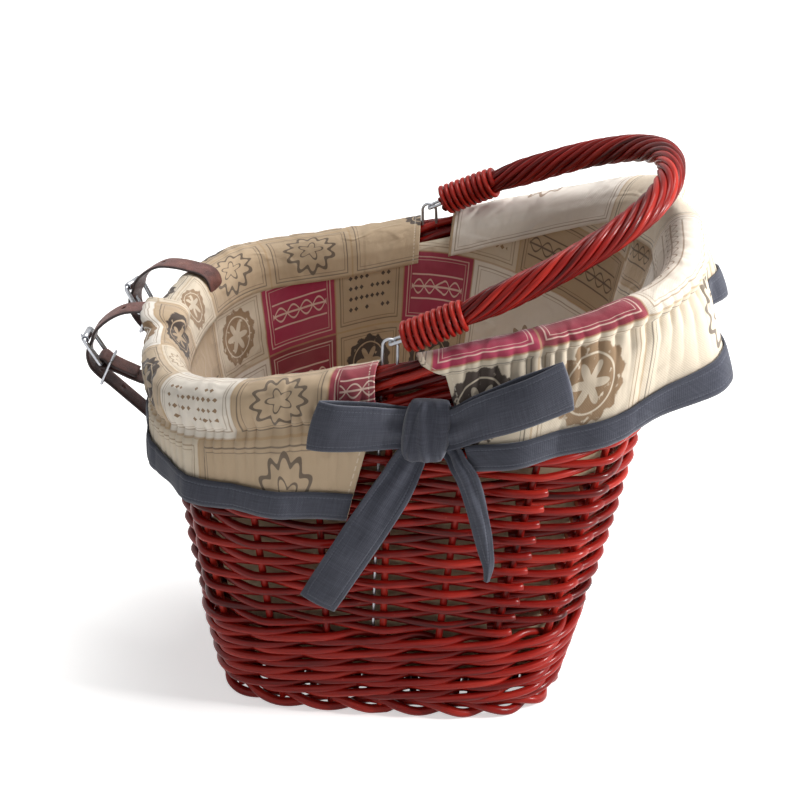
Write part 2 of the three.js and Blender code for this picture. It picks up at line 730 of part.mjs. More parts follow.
// What the belt leaves free for the prong: its sleeve, and the pin from rest to the end of its play
function prongRoom() {
  const room = PRONG_DIAMETER / 2 + GAP;
  const swing = -radians(PRONG_PLAY);
  const inner = outward.clone().multiplyScalar(-room);
  const outer = outward.clone().multiplyScalar(room);
  const swung = prongTip.clone().add(outer).rotateAround(HEEL, swing);
  const swungFoot = prongFoot.clone().add(outer).rotateAround(HEEL, swing);
  const behind = towardRoller.clone().multiplyScalar(-3 * GAP);
  const sector = [
    prongFoot.clone().add(inner).add(behind),
    prongTip.clone().add(inner),
    swung,
    swungFoot.add(behind),
  ];
  const width = PRONG_SLEEVE_LENGTH + 2 * GAP;
  return [acrossBelt(sector, width), pinAcross(HEEL, sleeveDiameter + 2 * GAP, width, 12)];
}

// Punched holes beside the one that the prong uses, spaced along the belt
function punchedHoles(belt) {
  const steps = 400;
  const lengths = belt.spline.getLengths(steps);
  const crossing = fromFrame(12.3, 3.2);
  let used = 0;
  let nearest = Infinity;
  for (let i = Math.round(steps / 2); i <= steps; i++) {
    const point = belt.spline.getPointAt(i / steps);
    const distance = Math.hypot(point.x - crossing.x, point.y - crossing.y);
    if (distance < nearest) {
      nearest = distance;
      used = lengths[steps] * (i / steps);
    }
  }
  return HOLE_STEPS.map((step) => {
    const part = (used + step * HOLE_PITCH) / lengths[steps];
    const point = belt.spline.getPointAt(part);
    const along = belt.spline.getTangentAt(part);
    const across = new THREE.Vector3(-along.y, along.x, 0).multiplyScalar(2 * STRAP_THICKNESS);
    return straightRod(point.clone().sub(across), point.clone().add(across), HOLE_DIAMETER, 8);
  });
}

// A ring of wire bent as a rectangle between two lines across the belt
function wireLoop(from, to, halfWidth, diameter, corner) {
  const points = [];
  const down = to.clone().sub(from);
  const length = down.length();
  down.normalize();
  const at = (along, w) => new THREE.Vector3(from.x + down.x * along, from.y + down.y * along, w);
  for (let quarter = 0; quarter < 4; quarter++) {
    const centreAlong = quarter === 0 || quarter === 3 ? length - corner : corner;
    const centreAcross = quarter < 2 ? halfWidth - corner : corner - halfWidth;
    for (let k = 0; k <= 2; k++) {
      const turn = (Math.PI / 2) * (quarter + k / 2);
      points.push(at(centreAlong + corner * Math.cos(turn), centreAcross + corner * Math.sin(turn)));
    }
  }
  return sweep(points, () => diameter / 2, 8, true);
}

const keeperTop = fromHeel(KEEPER_ALONG, -(layer + beltHalf + GAP + KEEPER_WIRE / 2 + 0.65));
const keeperBottom = fromHeel(KEEPER_ALONG, KEEPER_DROP);
const loopHalfWidth = STRAP_WIDTH / 2 + GAP;
const beltTools = [];

STRAP_ALONG_RIM.forEach((along, k) => {
  const side = ["near", "far"][k];
  const fraction = 0.5 + (0.25 * along) / (rimOutline.halfPerimeter - rimOutline.stakeLength);
  const foot = wallAtDepth(fraction, 0, 0);
  const turn = Math.PI - radians(STRAP_TURN[k]);
  const u = new THREE.Vector3(Math.cos(turn), Math.sin(turn), 0);
  const up = new THREE.Vector3(0, 0, 1);
  const place = new THREE.Matrix4().makeBasis(u, up, u.clone().cross(up)).setPosition(foot);
  const strap = new THREE.Group();
  strap.applyMatrix4(place);
  group.add(strap);

  const leatherBelt = acrossBelt(belts[k].outline(beltHalf, 2), STRAP_WIDTH);
  addMesh(strap, `strap_${side}`, cut(leatherBelt, [...prongRoom(), ...punchedHoles(belts[k])]), leather());

  const slotOutline = shellStretch.outline(beltHalf + SLOT_CLEARANCE, 2);
  beltTools.push(acrossBelt(slotOutline, STRAP_WIDTH + 2 * SLOT_CLEARANCE).applyMatrix4(place));

  const frame = wireLoop(HEEL, ROLLER, loopHalfWidth + BUCKLE_WIRE / 2, BUCKLE_WIRE, 2);
  addMesh(strap, `buckle_frame_${side}`, frame, nickel());

  const tube = pinAcross(ROLLER, rollerDiameter, ROLLER_LENGTH, 14);
  const rollerBore = pinAcross(ROLLER, BUCKLE_WIRE + 2.4 * GAP, ROLLER_LENGTH + 2, 14);
  addMesh(strap, `buckle_roller_${side}`, cut(tube, [rollerBore]), nickel());

  const flat = (p) => new THREE.Vector3(p.x, p.y, 0);
  const pin = sweep([flat(prongFoot), flat(prongTip)], (i) => (PRONG_DIAMETER / 2) * (i ? 0.75 : 1), 8);
  const sleeve = pinAcross(HEEL, sleeveDiameter, PRONG_SLEEVE_LENGTH, 12);
  const bore = pinAcross(HEEL, sleeveBore, PRONG_SLEEVE_LENGTH + 2, 12);
  addMesh(strap, `buckle_prong_${side}`, cut(join([sleeve, pin]), [bore]), nickel());

  const keeper = wireLoop(keeperTop, keeperBottom, loopHalfWidth + KEEPER_WIRE / 2, KEEPER_WIRE, 1.5);
  addMesh(strap, `strap_keeper_${side}`, keeper, nickel());
});

// Woven bands of the wall, with channels for the stakes and hangers and slots for the straps

const atZ = (z) => (f, offset) => wallAtHeight(f, offset, z);
const atDepth = (depth) => (f, offset) => wallAtDepth(f, offset, depth);
const lowerWale = woven(atZ(FOOT_HEIGHT + GAP), atZ(LOWER_WALE_TOP), WALE_ROWS, waleRelief);
const sidingTop = atDepth(upperWaleBottomDepth + GAP);
const siding = woven(atZ(LOWER_WALE_TOP + GAP), sidingTop, 2 * COURSES, courseRelief);
const upperWale = band(atDepth(upperWaleBottomDepth), atDepth(upperWaleTopDepth), 0, -WALL);
addMesh(group, "lower_wale", cut(lowerWale, channels), willow());
addMesh(group, "siding", cut(siding, [...channels, ...hangerChannels]), willow());
addMesh(group, "upper_wale", cut(upperWale, [...channels, ...hangerChannels, ...beltTools]), willow());

const borderDepth = CREST_CLEARANCE + BORDER_HEIGHT / 2;
const borderCentre = (f, out, up) => wallAtDepth(f, -BORDER_WIDTH / 2 + out, borderDepth - up);
const border = roundedRing(borderCentre, BORDER_WIDTH / 2, BORDER_HEIGHT / 2, BORDER_ROUNDNESS, 4);
addMesh(group, "top_border", cut(border, [...hangerChannels, ...beltTools]), willow());

// Cloth. The bag stands inside the shell. A cuff goes over the border at each end, is held by elastic
// and hangs down outside as a flared skirt with a band along its hem. The cuffs end at the centre stakes.

// A closed bag between rings of points, from its floor to its top, with both ends closed
function capped(rows) {
  const positions = rows.flat().flatMap((point) => [point.x, point.y, point.z]);
  const count = rows[0].length;
  const index = [];
  const middles = [rows[0], rows[rows.length - 1]].map((row) => {
    const middle = row.reduce((sum, point) => sum.add(point), new THREE.Vector3()).divideScalar(count);
    positions.push(middle.x, middle.y, middle.z);
    return positions.length / 3 - 1;
  });
  for (let k = 0; k < count; k++) {
    const next = (k + 1) % count;
    for (let r = 0; r < rows.length - 1; r++) {
      const [low, high] = [r * count, (r + 1) * count];
      index.push(low + k, low + next, high + next, low + k, high + next, high + k);
    }
    const last = (rows.length - 1) * count;
    index.push(next, k, middles[0], last + k, last + next, middles[1]);
  }
  const geometry = new THREE.BufferGeometry();
  geometry.setAttribute("position", new THREE.Float32BufferAttribute(positions, 3));
  geometry.setIndex(index);
  return outwards(geometry);
}

const bagFloor = panelTop + GAP;
const bagTopDepth = 7.6;
const bagWall = [[50, -WALL - 4.9], [30, -WALL - 8.2], [22, -WALL - 10.6], [bagTopDepth, -WALL - 12.2]];
const bagRows = (grow, floor, extra) => [
  stations.map((f) => wallAtHeight(f, -WALL - BAG_CLEARANCE + grow, floor)),
  ...bagWall.map(([depth, offset]) =>
    stations.map((f) => wallAtDepth(f, offset + grow, depth === bagTopDepth ? depth - extra : depth))),
];
const bag = cut(capped(bagRows(0, bagFloor, 0)), [capped(bagRows(-CLOTH, bagFloor + CLOTH, 5))]);
addMesh(group, "liner_bag", bag, linerCloth());

const CUFF_MIDDLE = { rear: 0.5, front: 0 };
const CUFF_SPAN = { rear: rimOutline.halfPerimeter - rimOutline.stakeLength, front: rimOutline.stakeLength };
const CUFF_OFFSET = 2.4;
const CUFF_TOP_HEIGHT = BORDER_HEIGHT / 2 + CREST_CLEARANCE - CLOTH / 2;
const CUFF_INNER_WIDTH = BORDER_WIDTH / 2 + 3.4;
const CUFF_TURNS = [155, 122, 92, 62, 32].map(radians);

// Depth of the hem: level at the strap end, and raised round the front end
function hemDepth(end, fraction) {
  if (end === "rear") {
    return rimHeight(rimOutline.at(fraction).x) - REAR_HEM_Z;
  }
  return FRONT_HEM_DEPTH - FRONT_HEM_RISE * smooth((0.15 - Math.abs(fraction)) / 0.12);
}

// How far the cuff's edge is from the centre stake at a depth, as a part of the way round
function slitPart(end, depth) {
  const gather = GATHER_DEPTH[end];
  const hem = end === "rear" ? hemDepth(end, 0.27) : FRONT_HEM_DEPTH;
  const distance = depth < gather
    ? lerp(SLIT_AT_CREST[end], SLIT_AT_GATHER[end], Math.max(depth, 0) / gather)
    : lerp(SLIT_AT_GATHER[end], SLIT_AT_HEM[end], (depth - gather) / (hem - gather));
  return (0.25 * distance) / CUFF_SPAN[end];
}

// Places along a cuff: in its middle part they fall on the shell's own stations and halfway between them
const CUFF_EVEN = 15;
const CUFF_EDGE = 4;
const cuffLast = CUFF_EVEN + CUFF_EDGE;
const cuffPlaces = Array.from({ length: 2 * cuffLast + 1 }, (_, k) => k - cuffLast);

function cuffFraction(end, place, depth) {
  const even = Math.abs(place) / (2 * STATIONS);
  const lastEven = CUFF_EVEN / (2 * STATIONS);
  const edge = lerp(lastEven, 0.25 - slitPart(end, depth), (Math.abs(place) - CUFF_EVEN) / CUFF_EDGE);
  return CUFF_MIDDLE[end] + Math.sign(place) * (Math.abs(place) <= CUFF_EVEN ? even : edge);
}

// The skirt's distance from the wall: a flare that is less at the slits and more at the corners,
// with folds along the hem
function skirtOffset(end, fraction, part) {
  const fromMiddle = Math.abs(fraction - CUFF_MIDDLE[end]);
  const fromSlit = ((0.25 - fromMiddle) / 0.25) * CUFF_SPAN[end] - SLIT_AT_GATHER[end];
  const open = smooth(fromSlit / 60);
  const flare = lerp(SKIRT_FLARE_AT_SLIT[end], SKIRT_FLARE[end], open);
  const corner = CORNER_FLARE[end] * Math.exp(-(((fromMiddle - CORNER_FROM_MIDDLE) / 0.03) ** 2));
  const fold = FOLD_HEIGHT * open * Math.sin((2 * Math.PI * FOLDS * fromMiddle) / 0.5);
  return CUFF_OFFSET + flare * part ** 0.8 + (fold + corner) * part;
}

// One row of the cuff: over the border by turn, on the wall by depth, or on the skirt by part
const overBorder = (turn) => (end, place, grow) => {
  const exponent = 2 / BORDER_ROUNDNESS;
  const side = Math.cos(turn) < 0 ? CUFF_INNER_WIDTH : BORDER_WIDTH / 2 + CUFF_OFFSET;
  const out = (side + grow) * power(Math.cos(turn), exponent);
  const up = (CUFF_TOP_HEIGHT + grow) * power(Math.sin(turn), exponent);
  return borderCentre(cuffFraction(end, place, Math.cos(turn) < 0 ? 0 : borderDepth - up), out, up);
};

const onSkirt = (part) => (end, place, grow) => {
  const first = cuffFraction(end, place, GATHER_DEPTH[end]);
  const depth = lerp(GATHER_DEPTH[end], hemDepth(end, first), part);
  const fraction = cuffFraction(end, place, depth);
  return wallAtDepth(fraction, skirtOffset(end, fraction, part) + grow, depth);
};

const onBand = (top) => (end, place, grow) => {
  const first = cuffFraction(end, place, GATHER_DEPTH[end]);
  const drop = hemDepth(end, first) - GATHER_DEPTH[end];
  return onSkirt(top ? 1 - BAND_WIDTH / drop : 1)(end, place, grow);
};

function strip(end, rows, outerGrow, innerGrow) {
  const grid = (grow) => cuffPlaces.map((place) => rows.map((row) => row(end, place, grow)));
  return skin(grid(outerGrow), grid(innerGrow), false);
}

for (const end of ["rear", "front"]) {
  const onWall = (depth) => (_, place, grow) =>
    wallAtDepth(cuffFraction(end, place, depth), CUFF_OFFSET + grow, depth);
  const edgeDepth = end === "rear" ? borderDepth : GATHER_DEPTH.front - ELASTIC_WIDTH / 2 - 0.4;
  const overEdge = onWall(edgeDepth);
  const skirtRows = [onSkirt(0), onSkirt(0.3), onBand(true), onSkirt(1)];
  const rows = [...CUFF_TURNS.map(overBorder), overEdge, ...skirtRows];
  const cuff = strip(end, rows, CLOTH / 2, -CLOTH / 2);
  addMesh(group, `cuff_${end}`, end === "rear" ? cut(cuff, beltTools) : cuff, linerCloth());
  const bandInner = CLOTH / 2 + 1.6 * GAP;
  const hemBand = strip(end, [onBand(true), onBand(false)], bandInner + BAND_THICKNESS, bandInner);
  addMesh(group, `band_${end}`, end === "rear" ? cut(hemBand, beltTools) : hemBand, bandCloth());
  const gather = GATHER_DEPTH[end];
  const elasticRows = [gather - ELASTIC_WIDTH / 2, gather + ELASTIC_WIDTH / 2].map(onWall);
  const elastic = strip(end, elasticRows, GAP + ELASTIC_THICKNESS - CUFF_OFFSET, GAP - CUFF_OFFSET);
  addMesh(group, `elastic_${end}`, elastic, bandCloth());
}

// Bows, one on each side, between the two cuffs. A ribbon is given by places on its middle line:
// x, distance from the middle of the basket, height, width, and the lean of its width from upright.

const TAILS = [
  [-33, 120, 107, 24, -61],
  [-14, 122, 140, 25, -60],
  [4, 123.5, 171, 24, -58],
  [17, 122.2, 193, 20, -55],
  [27, 119.1, 212, 15, -48],
  [37, 118.9, 224, 11, 0],
  [50.5, 119.6, 217, 12, 40],
  [56, 124, 209.5, 12, 52],
  [62, 125, 201, 16, 65],
  [70, 125.4, 176, 17, 76],
  [77, 124.5, 144, 17, 78],
];
const LOOPS = [
  [36, 123.9, 233, 27, 0],
  [20, 124.2, 234, 27, 3],
  [6, 126.4, 236, 28, 7],
  [-20, 129.5, 237, 31, 14],
  [-30.5, 133, 237, 33, 14],
  [-20, 136.5, 237, 32, 14],
  [6, 132.6, 236, 29, 7],
  [20, 126.8, 234, 27, 3],
  [36, 126.8, 233, 27, 0],
  [52, 128.8, 236, 27, -3],
  [68, 136, 247, 28, -6],
  [100, 142, 263, 30, -12],
  [120.5, 139, 273, 31, -13],
  [102, 136.6, 264, 31, -12],
  [68, 131, 247, 28, -6],
  [52, 126.2, 236, 27, -3],
];
const KNOT = { x: 36.5, out: 126.4, z: 233.5, width: 29, depth: 12, height: 41 };

function ribbon(places, sign, closed, perPlace) {
  const path = new THREE.CatmullRomCurve3(
    places.map(([x, out, z]) => new THREE.Vector3(x, sign * out, z)), closed, "centripetal");
  const spans = closed ? places.length : places.length - 1;
  const steps = spans * perPlace;
  const outer = [];
  const inner = [];
  for (let i = 0; i < (closed ? steps : steps + 1); i++) {
    const place = Math.min(Math.floor(i / perPlace), spans - 1);
    const part = i / perPlace - place;
    const [from, to] = [places[place], places[(place + 1) % places.length]];
    const half = lerp(from[3], to[3], part) / 2;
    const lean = radians(lerp(from[4], to[4], part));
    const side = new THREE.Vector3(Math.sin(lean), 0, Math.cos(lean));
    const normal = path.getTangent(i / steps).cross(side).normalize();
    const middle = path.getPoint(i / steps);
    const row = (thick) => [-1, 1].map((end) =>
      middle.clone().addScaledVector(side, end * half).addScaledVector(normal, thick));
    outer.push(row(CLOTH / 2));
    inner.push(row(-CLOTH / 2));
  }
  return skin(outer, inner, closed);
}

function knot(sign) {
  const around = Array.from({ length: 16 }, (_, k) => (2 * Math.PI * k) / 16);
  const ring = (shrink) => around.map((turn) => [-1, 1].map((end) => {
    const out = (KNOT.depth / 2 - shrink) * power(Math.cos(turn), 0.5);
    const up = (KNOT.height / 2 - shrink) * power(Math.sin(turn), 0.5);
    return new THREE.Vector3(KNOT.x + (end * KNOT.width) / 2, sign * (KNOT.out + out), KNOT.z + up);
  }));
  return skin(ring(0), ring(CLOTH), true);
}

[["near", -1], ["far", 1]].forEach(([side, sign]) => {
  addMesh(group, `bow_loops_${side}`, ribbon(LOOPS, sign, true, 2), bandCloth());
  addMesh(group, `bow_tails_${side}`, ribbon(TAILS, sign, false, 2), bandCloth());
  addMesh(group, `bow_knot_${side}`, knot(sign), bandCloth());
});

group.position.x = -MIDDLE_OF_LENGTH;

export default group;
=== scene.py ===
"""Wicker bicycle basket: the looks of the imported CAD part, laid out as an add-on.

Lengths in the formulas are millimetres, in the part's own frame; pieces are made in metres.
"""

import math

import bpy
import numpy as np
from bpy.props import FloatProperty, FloatVectorProperty, IntProperty, PointerProperty
from mathutils import Matrix, Vector


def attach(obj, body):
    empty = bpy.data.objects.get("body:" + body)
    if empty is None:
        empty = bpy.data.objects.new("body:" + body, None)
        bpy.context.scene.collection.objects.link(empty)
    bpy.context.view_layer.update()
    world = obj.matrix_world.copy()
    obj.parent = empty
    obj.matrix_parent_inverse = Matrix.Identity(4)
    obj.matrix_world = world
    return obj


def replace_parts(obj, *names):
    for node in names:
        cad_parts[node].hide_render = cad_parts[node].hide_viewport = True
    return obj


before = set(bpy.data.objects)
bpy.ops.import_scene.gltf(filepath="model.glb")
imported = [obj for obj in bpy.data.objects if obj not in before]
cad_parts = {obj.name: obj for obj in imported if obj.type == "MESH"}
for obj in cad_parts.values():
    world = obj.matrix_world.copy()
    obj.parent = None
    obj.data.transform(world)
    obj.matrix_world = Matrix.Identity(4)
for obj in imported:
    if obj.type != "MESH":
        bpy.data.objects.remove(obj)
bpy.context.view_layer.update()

bl_info = {
    "name": "Wicker bicycle basket",
    "version": (1, 0, 0),
    "blender": (4, 5, 0),
    "location": "3D View > Sidebar > Basket",
    "description": "Woven shell, bail, straps and tied liner of a wicker bicycle basket",
    "category": "Object",
}

TAU = 2 * math.pi

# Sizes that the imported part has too; SHIFT_X leads from the part's own x to the shared frame's

SHIFT_X = 0.887
FOOT_HEIGHT = 12.0
BASE_SIZE = (227, 163)
RIM_SIZE = (362, 248)
RIM_CENTRE_X = 24
RIM_Z = {"rear": 240.5, "front": 325.5}
RIM_SAG = 6.5
WALL = 9.0
WEAVE_MIDDLE = -5.8
STAKES = 20
STAKE_DIAMETER = 4.8
LOWER_WALE_TOP = 67.0
BORDER_TOP_DEPTH = 3.0
BORDER_HEIGHT = 22.0
BORDER_WIDTH = 16.0
BORDER_DEPTH = BORDER_TOP_DEPTH + BORDER_HEIGHT / 2
UPPER_WALE_DEPTHS = (25.3, 55.3)
HINGE = (13.0, 109.0, 281.8)
BAIL_REACH = 177.0
BAIL_HALF_WIDTH = 110.5
BAIL_EXPONENT = 2 / 2.3
BAIL_TILT = math.radians(24.6)
BAIL_DIAMETER = 18.0
BAIL_END_DIAMETER = 14.4
BAIL_END_FROM_HINGE = 9.0
GATHER_DEPTH = {"rear": 32.0, "front": 13.0}
REAR_HEM_Z = 168.5
FRONT_HEM_DEPTH = 83.0
FRONT_HEM_RISE = 20.0
SKIRT_FLARE = {"rear": 6.0, "front": 10.2}
SKIRT_FLARE_AT_SLIT = {"rear": 4.0, "front": 3.0}
SLIT_AT_CREST = {"rear": 9.0, "front": 13.0}
SLIT_AT_GATHER = {"rear": 7.0, "front": 34.0}
SLIT_AT_HEM = {"rear": 24.0, "front": 56.0}
BAND_WIDTH = 18.0
CUFF_MIDDLE = {"rear": 0.5, "front": 0.0}


def lerp(a, b, t):
    """The place t of the way from a to b: a + (b - a) t."""
    return a + (b - a) * t


def smooth(t):
    """A step from 0 to 1 without a corner: 3 t^2 - 2 t^3, with t held between 0 and 1."""
    t = np.clip(t, 0, 1)
    return t * t * (3 - 2 * t)


def power(value, exponent):
    """A power of the value's size, with the value's sign."""
    return np.sign(value) * np.abs(value) ** exponent


def unit(vectors):
    """Each vector divided by its own length."""
    return vectors / np.linalg.norm(vectors, axis=-1, keepdims=True)


def waves(x, seed, count=5, least=1):
    """A sum of sines with seeded phases that repeats after x = 1, about -1 to 1."""
    rng = np.random.default_rng(seed)
    total = 0
    for k in range(count):
        cycles = least + k * 2 + rng.integers(0, 2)
        total = total + np.sin(TAU * (cycles * x + rng.random())) * rng.uniform(0.5, 1)
    return total / (0.75 * count)


class Outline:
    """A rounded rectangle: x = centre + a cos^(2/n), y = -b sin^(2/n) on its near half, by arc length.

    Fraction 0 is the front end, 0.25 the near centre stake, 0.5 the strap end, 0.75 the far centre stake.
    """

    def __init__(self, size, roundness, centre_x, stake_x):
        self.half = (size[0] / 2, size[1] / 2)
        self.exponent = 2 / roundness
        self.centre_x = centre_x
        self.angles = np.linspace(0, math.pi, 721)
        points = self.near_side(self.angles, 0)
        steps = np.hypot(*np.diff(points, axis=0).T)
        self.lengths = np.concatenate([[0], np.cumsum(steps)])
        self.half_perimeter = self.lengths[-1]
        self.stake_length = self.lengths[np.argmax(points[:, 0] <= stake_x)]

    def near_side(self, angle, offset):
        """Points of the near half by angle, with both half sizes grown by the offset."""
        x = self.centre_x + (self.half[0] + offset) * power(np.cos(angle), self.exponent)
        y = -(self.half[1] + offset) * power(np.sin(angle), self.exponent)
        return np.stack([x, y], axis=-1)

    def at(self, fraction, offset=0.0):
        """Points by fraction: even in length within each quarter, the far half mirrored from the near."""
        wrapped = np.mod(fraction, 1)
        near = np.where(wrapped <= 0.5, wrapped, 1 - wrapped)
        length = np.where(
            near < 0.25,
            near / 0.25 * self.stake_length,
            lerp(self.stake_length, self.half_perimeter, (near - 0.25) / 0.25),
        )
        point = self.near_side(np.interp(length, self.lengths, self.angles), offset)
        point[..., 1] *= np.where(wrapped <= 0.5, 1, -1)
        return point


BASE = Outline(BASE_SIZE, 4, 0, 4)
RIM = Outline(RIM_SIZE, 3.66, RIM_CENTRE_X, 15)
PERIMETER = 2 * RIM.half_perimeter
CUFF_SPAN = {"rear": RIM.half_perimeter - RIM.stake_length, "front": RIM.stake_length}


def rim_over(fraction):
    """The rim's height, rising from the strap end to the front and hanging through between them."""
    along = (RIM.at(fraction)[..., 0] - RIM_CENTRE_X) / RIM.half[0]
    return lerp(RIM_Z["rear"], RIM_Z["front"], (along + 1) / 2) - RIM_SAG * (1 - along**2)


# The shell's uneven places: how far they lie out, where round the rim, and their spread
SETTLED = [(-10, 0.01, 0.06), (-20, -0.053, 0.032), (-7, 0.425, 0.05), (9, 0.625, 0.04)]


def lobe(x, at, before, after):
    """A bump of height 1 at a place, with its own width on each side."""
    return np.exp(-(((x - at) / np.where(x < at, before, after)) ** 2))


def settled(fraction, part):
    """How far the used shell lies out at a part of its height: uneven, and most so at the rim."""
    f = np.mod(fraction + 0.3, 1) - 0.3
    moved = sum(far * lobe(f, at, spread, spread) for far, at, spread in SETTLED)
    return smooth((part - 0.25) / 0.5) * moved


def wall(fraction, offset, z):
    """Points of the wall, ruled from the foot's outline to the rim's, at height z and offset outwards."""
    fraction, offset, z = np.broadcast_arrays(fraction, offset, z)
    part = (z - FOOT_HEIGHT) / (rim_over(fraction) - FOOT_HEIGHT)
    offset = offset + settled(fraction, part)
    flat = lerp(BASE.at(fraction, offset), RIM.at(fraction, offset), part[..., None])
    return np.concatenate([flat, z[..., None]], axis=-1)


def wall_under(fraction, offset, depth):
    """Points of the wall at a depth under the rim."""
    return wall(fraction, offset, rim_over(fraction) - depth)


def spline(points, closed, per):
    """Centripetal Catmull-Rom curve, as Hermite pieces; further columns follow the first three."""
    points = np.asarray(points, float)
    if closed:
        padded = np.vstack([points[-1:], points, points[:2]])
    else:
        padded = np.vstack([2 * points[0] - points[1], points, 2 * points[-1] - points[-2]])
    chords = np.linalg.norm(np.diff(padded[:, :3], axis=0), axis=1)
    knots = np.concatenate([[0], np.cumsum(chords**0.5)])
    step = np.diff(knots)[:, None]
    slope = np.diff(padded, axis=0) / step
    wide = (padded[2:] - padded[:-2]) / (knots[2:] - knots[:-2])[:, None]
    tangent = slope[1:] + slope[:-1] - wide
    spans = len(tangent) - 1
    t = np.linspace(0, 1, per + 1)[None, :-1, None]
    h = step[1 : spans + 1][:, None]
    p0, p1 = padded[1 : spans + 1, None], padded[2 : spans + 2, None]
    m0, m1 = tangent[:spans, None] * h, tangent[1 : spans + 1, None] * h
    curve = (
        (2 * t**3 - 3 * t**2 + 1) * p0
        + (t**3 - 2 * t**2 + t) * m0
        + (3 * t**2 - 2 * t**3) * p1
        + (t**3 - t**2) * m1
    )
    curve = curve.reshape(-1, points.shape[1])
    return curve if closed else np.vstack([curve, points[-1]])


def along_path(path, closed=False):
    """Unit tangents and lengths along a path of points."""
    if closed:
        around = np.vstack([path[-1:], path, path[:1]])
        tangent = around[2:] - around[:-2]
        steps = np.linalg.norm(np.diff(around[1:], axis=0), axis=1)
    else:
        tangent = np.gradient(path, axis=0)
        steps = np.linalg.norm(np.diff(path, axis=0), axis=1)
    return unit(tangent), np.concatenate([[0], np.cumsum(steps)])


def length_along(points):
    """For a grid of points, the length along each row from its start."""
    steps = np.linalg.norm(np.diff(points, axis=1), axis=2)
    return np.concatenate([np.zeros((len(points), 1)), np.cumsum(steps, axis=1)], axis=1)


CUT_BEVEL = 0.12
CUT_FACE = 0.86


class Surface:
    """Collects grids of points into one mesh, with its own UV in millimetres and two values per point.

    The value rod is a shade from 0 to 1 for each rod. The value edge is 1 on cut ends and a belt's edges,
    and on cloth it is the distance from the cloth's edge in millimetres.
    """

    def __init__(self):
        self.points, self.faces, self.uvs = [], [], []
        self.values = {"rod": [], "edge": []}
        self.count = 0

    def add(self, points, faces, uvs, rod=0.0, edge=0.0):
        """Add points, and faces by their own count, with a UV per corner; gives the first point's number."""
        self.points.append(points.reshape(-1, 3))
        self.faces.extend((np.asarray(faces) + self.count).tolist())
        self.uvs.append(np.asarray(uvs, float).reshape(-1, 2))
        total = self.points[-1].shape[0]
        self.values["rod"].append(np.full(total, rod))
        self.values["edge"].append(np.broadcast_to(edge, total))
        first = self.count
        self.count += total
        return first

    def grid(self, points, closed_u=False, closed_v=False, u=None, v=None, **values):
        """points[i, j] for the two parameters; the face turns outwards where d/dv x d/du does."""
        nu, nv = points.shape[:2]
        spans = np.arange(nu if closed_u else nu - 1), np.arange(nv if closed_v else nv - 1)
        i, j = np.meshgrid(*spans, indexing="ij")
        corners = [(i, j), (i, j + 1), (i + 1, j + 1), (i + 1, j)]
        faces = np.stack([(a % nu) * nv + b % nv for a, b in corners], axis=-1).reshape(-1, 4)
        u = np.arange(nu + 1.0) if u is None else u
        v = np.arange(nv + 1.0) if v is None else v
        if np.ndim(u) < 2:
            u, v = np.meshgrid(u, v, indexing="ij")
        uv = np.stack([np.stack([u[a, b], v[a, b]], axis=-1) for a, b in corners], axis=2)
        return self.add(points, faces, uv, **values)

    def rod(self, path, radius, sides=8, closed=False, up=(0, 0, 1), flat=1.0, rod=0.0):
        """A round rod along a path: centre + r (cos a N + sin a B), its ends closed by bevelled cuts."""
        tangent, length = along_path(path, closed)
        up = np.broadcast_to(np.asarray(up, float), path.shape)
        n = unit(up - np.sum(up * tangent, axis=1, keepdims=True) * tangent)
        b = np.cross(tangent, n)
        angle = np.arange(sides) * TAU / sides
        radius = np.broadcast_to(radius, len(path))
        ring = (
            path[:, None]
            + (radius[:, None] * np.cos(angle))[..., None] * n[:, None] * flat
            + (radius[:, None] * np.sin(angle))[..., None] * b[:, None]
        )
        around = np.linspace(0, 1, sides + 1)
        first = self.grid(ring, closed, True, length, around, rod=rod)
        if not closed:
            for end, sign in ((0, -1), (-1, 1)):
                bevel = sign * tangent[end] * radius[end] * CUT_BEVEL
                inner = lerp(path[end], ring[end], CUT_FACE) + bevel
                points = np.vstack([inner, path[end] + bevel])
                cap = self.add(points, np.zeros((0, 3), int), np.zeros((0, 2)), rod=rod, edge=1.0)
                side = first + (0 if end == 0 else (len(path) - 1) * sides)
                k = np.arange(sides)
                m = (k + 1) % sides
                band = np.stack([side + k, side + m, cap + m, cap + k], axis=-1)
                fan = np.stack([cap + k, cap + m, np.full(sides, cap + sides)], axis=-1)
                if end == 0:
                    band, fan = band[:, ::-1], fan[:, ::-1]
                self.faces.extend(band.tolist())
                self.faces.extend(fan.tolist())
                self.uvs.append(np.zeros((band.size + fan.size, 2)))

    def piece(self, name, material, body="basket"):
        """Make the object, in metres and in the shared frame, riding on its body."""
        mesh = bpy.data.meshes.new(name)
        points = (np.vstack(self.points) + [SHIFT_X, 0, 0]) / 1000
        mesh.from_pydata(points.tolist(), [], self.faces)
        layer = mesh.uv_layers.new(name="UVMap")
        layer.data.foreach_set("uv", np.vstack(self.uvs).astype(np.float32).ravel())
        for key, parts in self.values.items():
            attribute = mesh.attributes.new(key, "FLOAT", "POINT")
            attribute.data.foreach_set("value", np.concatenate(parts).astype(np.float32))
        mesh.polygons.foreach_set("use_smooth", np.full(len(mesh.polygons), True))
        mesh.materials.append(material)
        mesh.update()
        mesh.validate()
        obj = bpy.data.objects.new(name, mesh)
        bpy.context.collection.objects.link(obj)
        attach(obj, body)
        return obj


# Materials, as sums of node outputs

def colour(code):
    """An opaque linear colour from six hexadecimal digits of sRGB."""
    srgb = np.array([int(code[k : k + 2], 16) / 255 for k in (0, 2, 4)])
    linear = np.where(srgb <= 0.04045, srgb / 12.92, ((srgb + 0.055) / 1.055) ** 2.4)
    return (*linear.tolist(), 1.0)


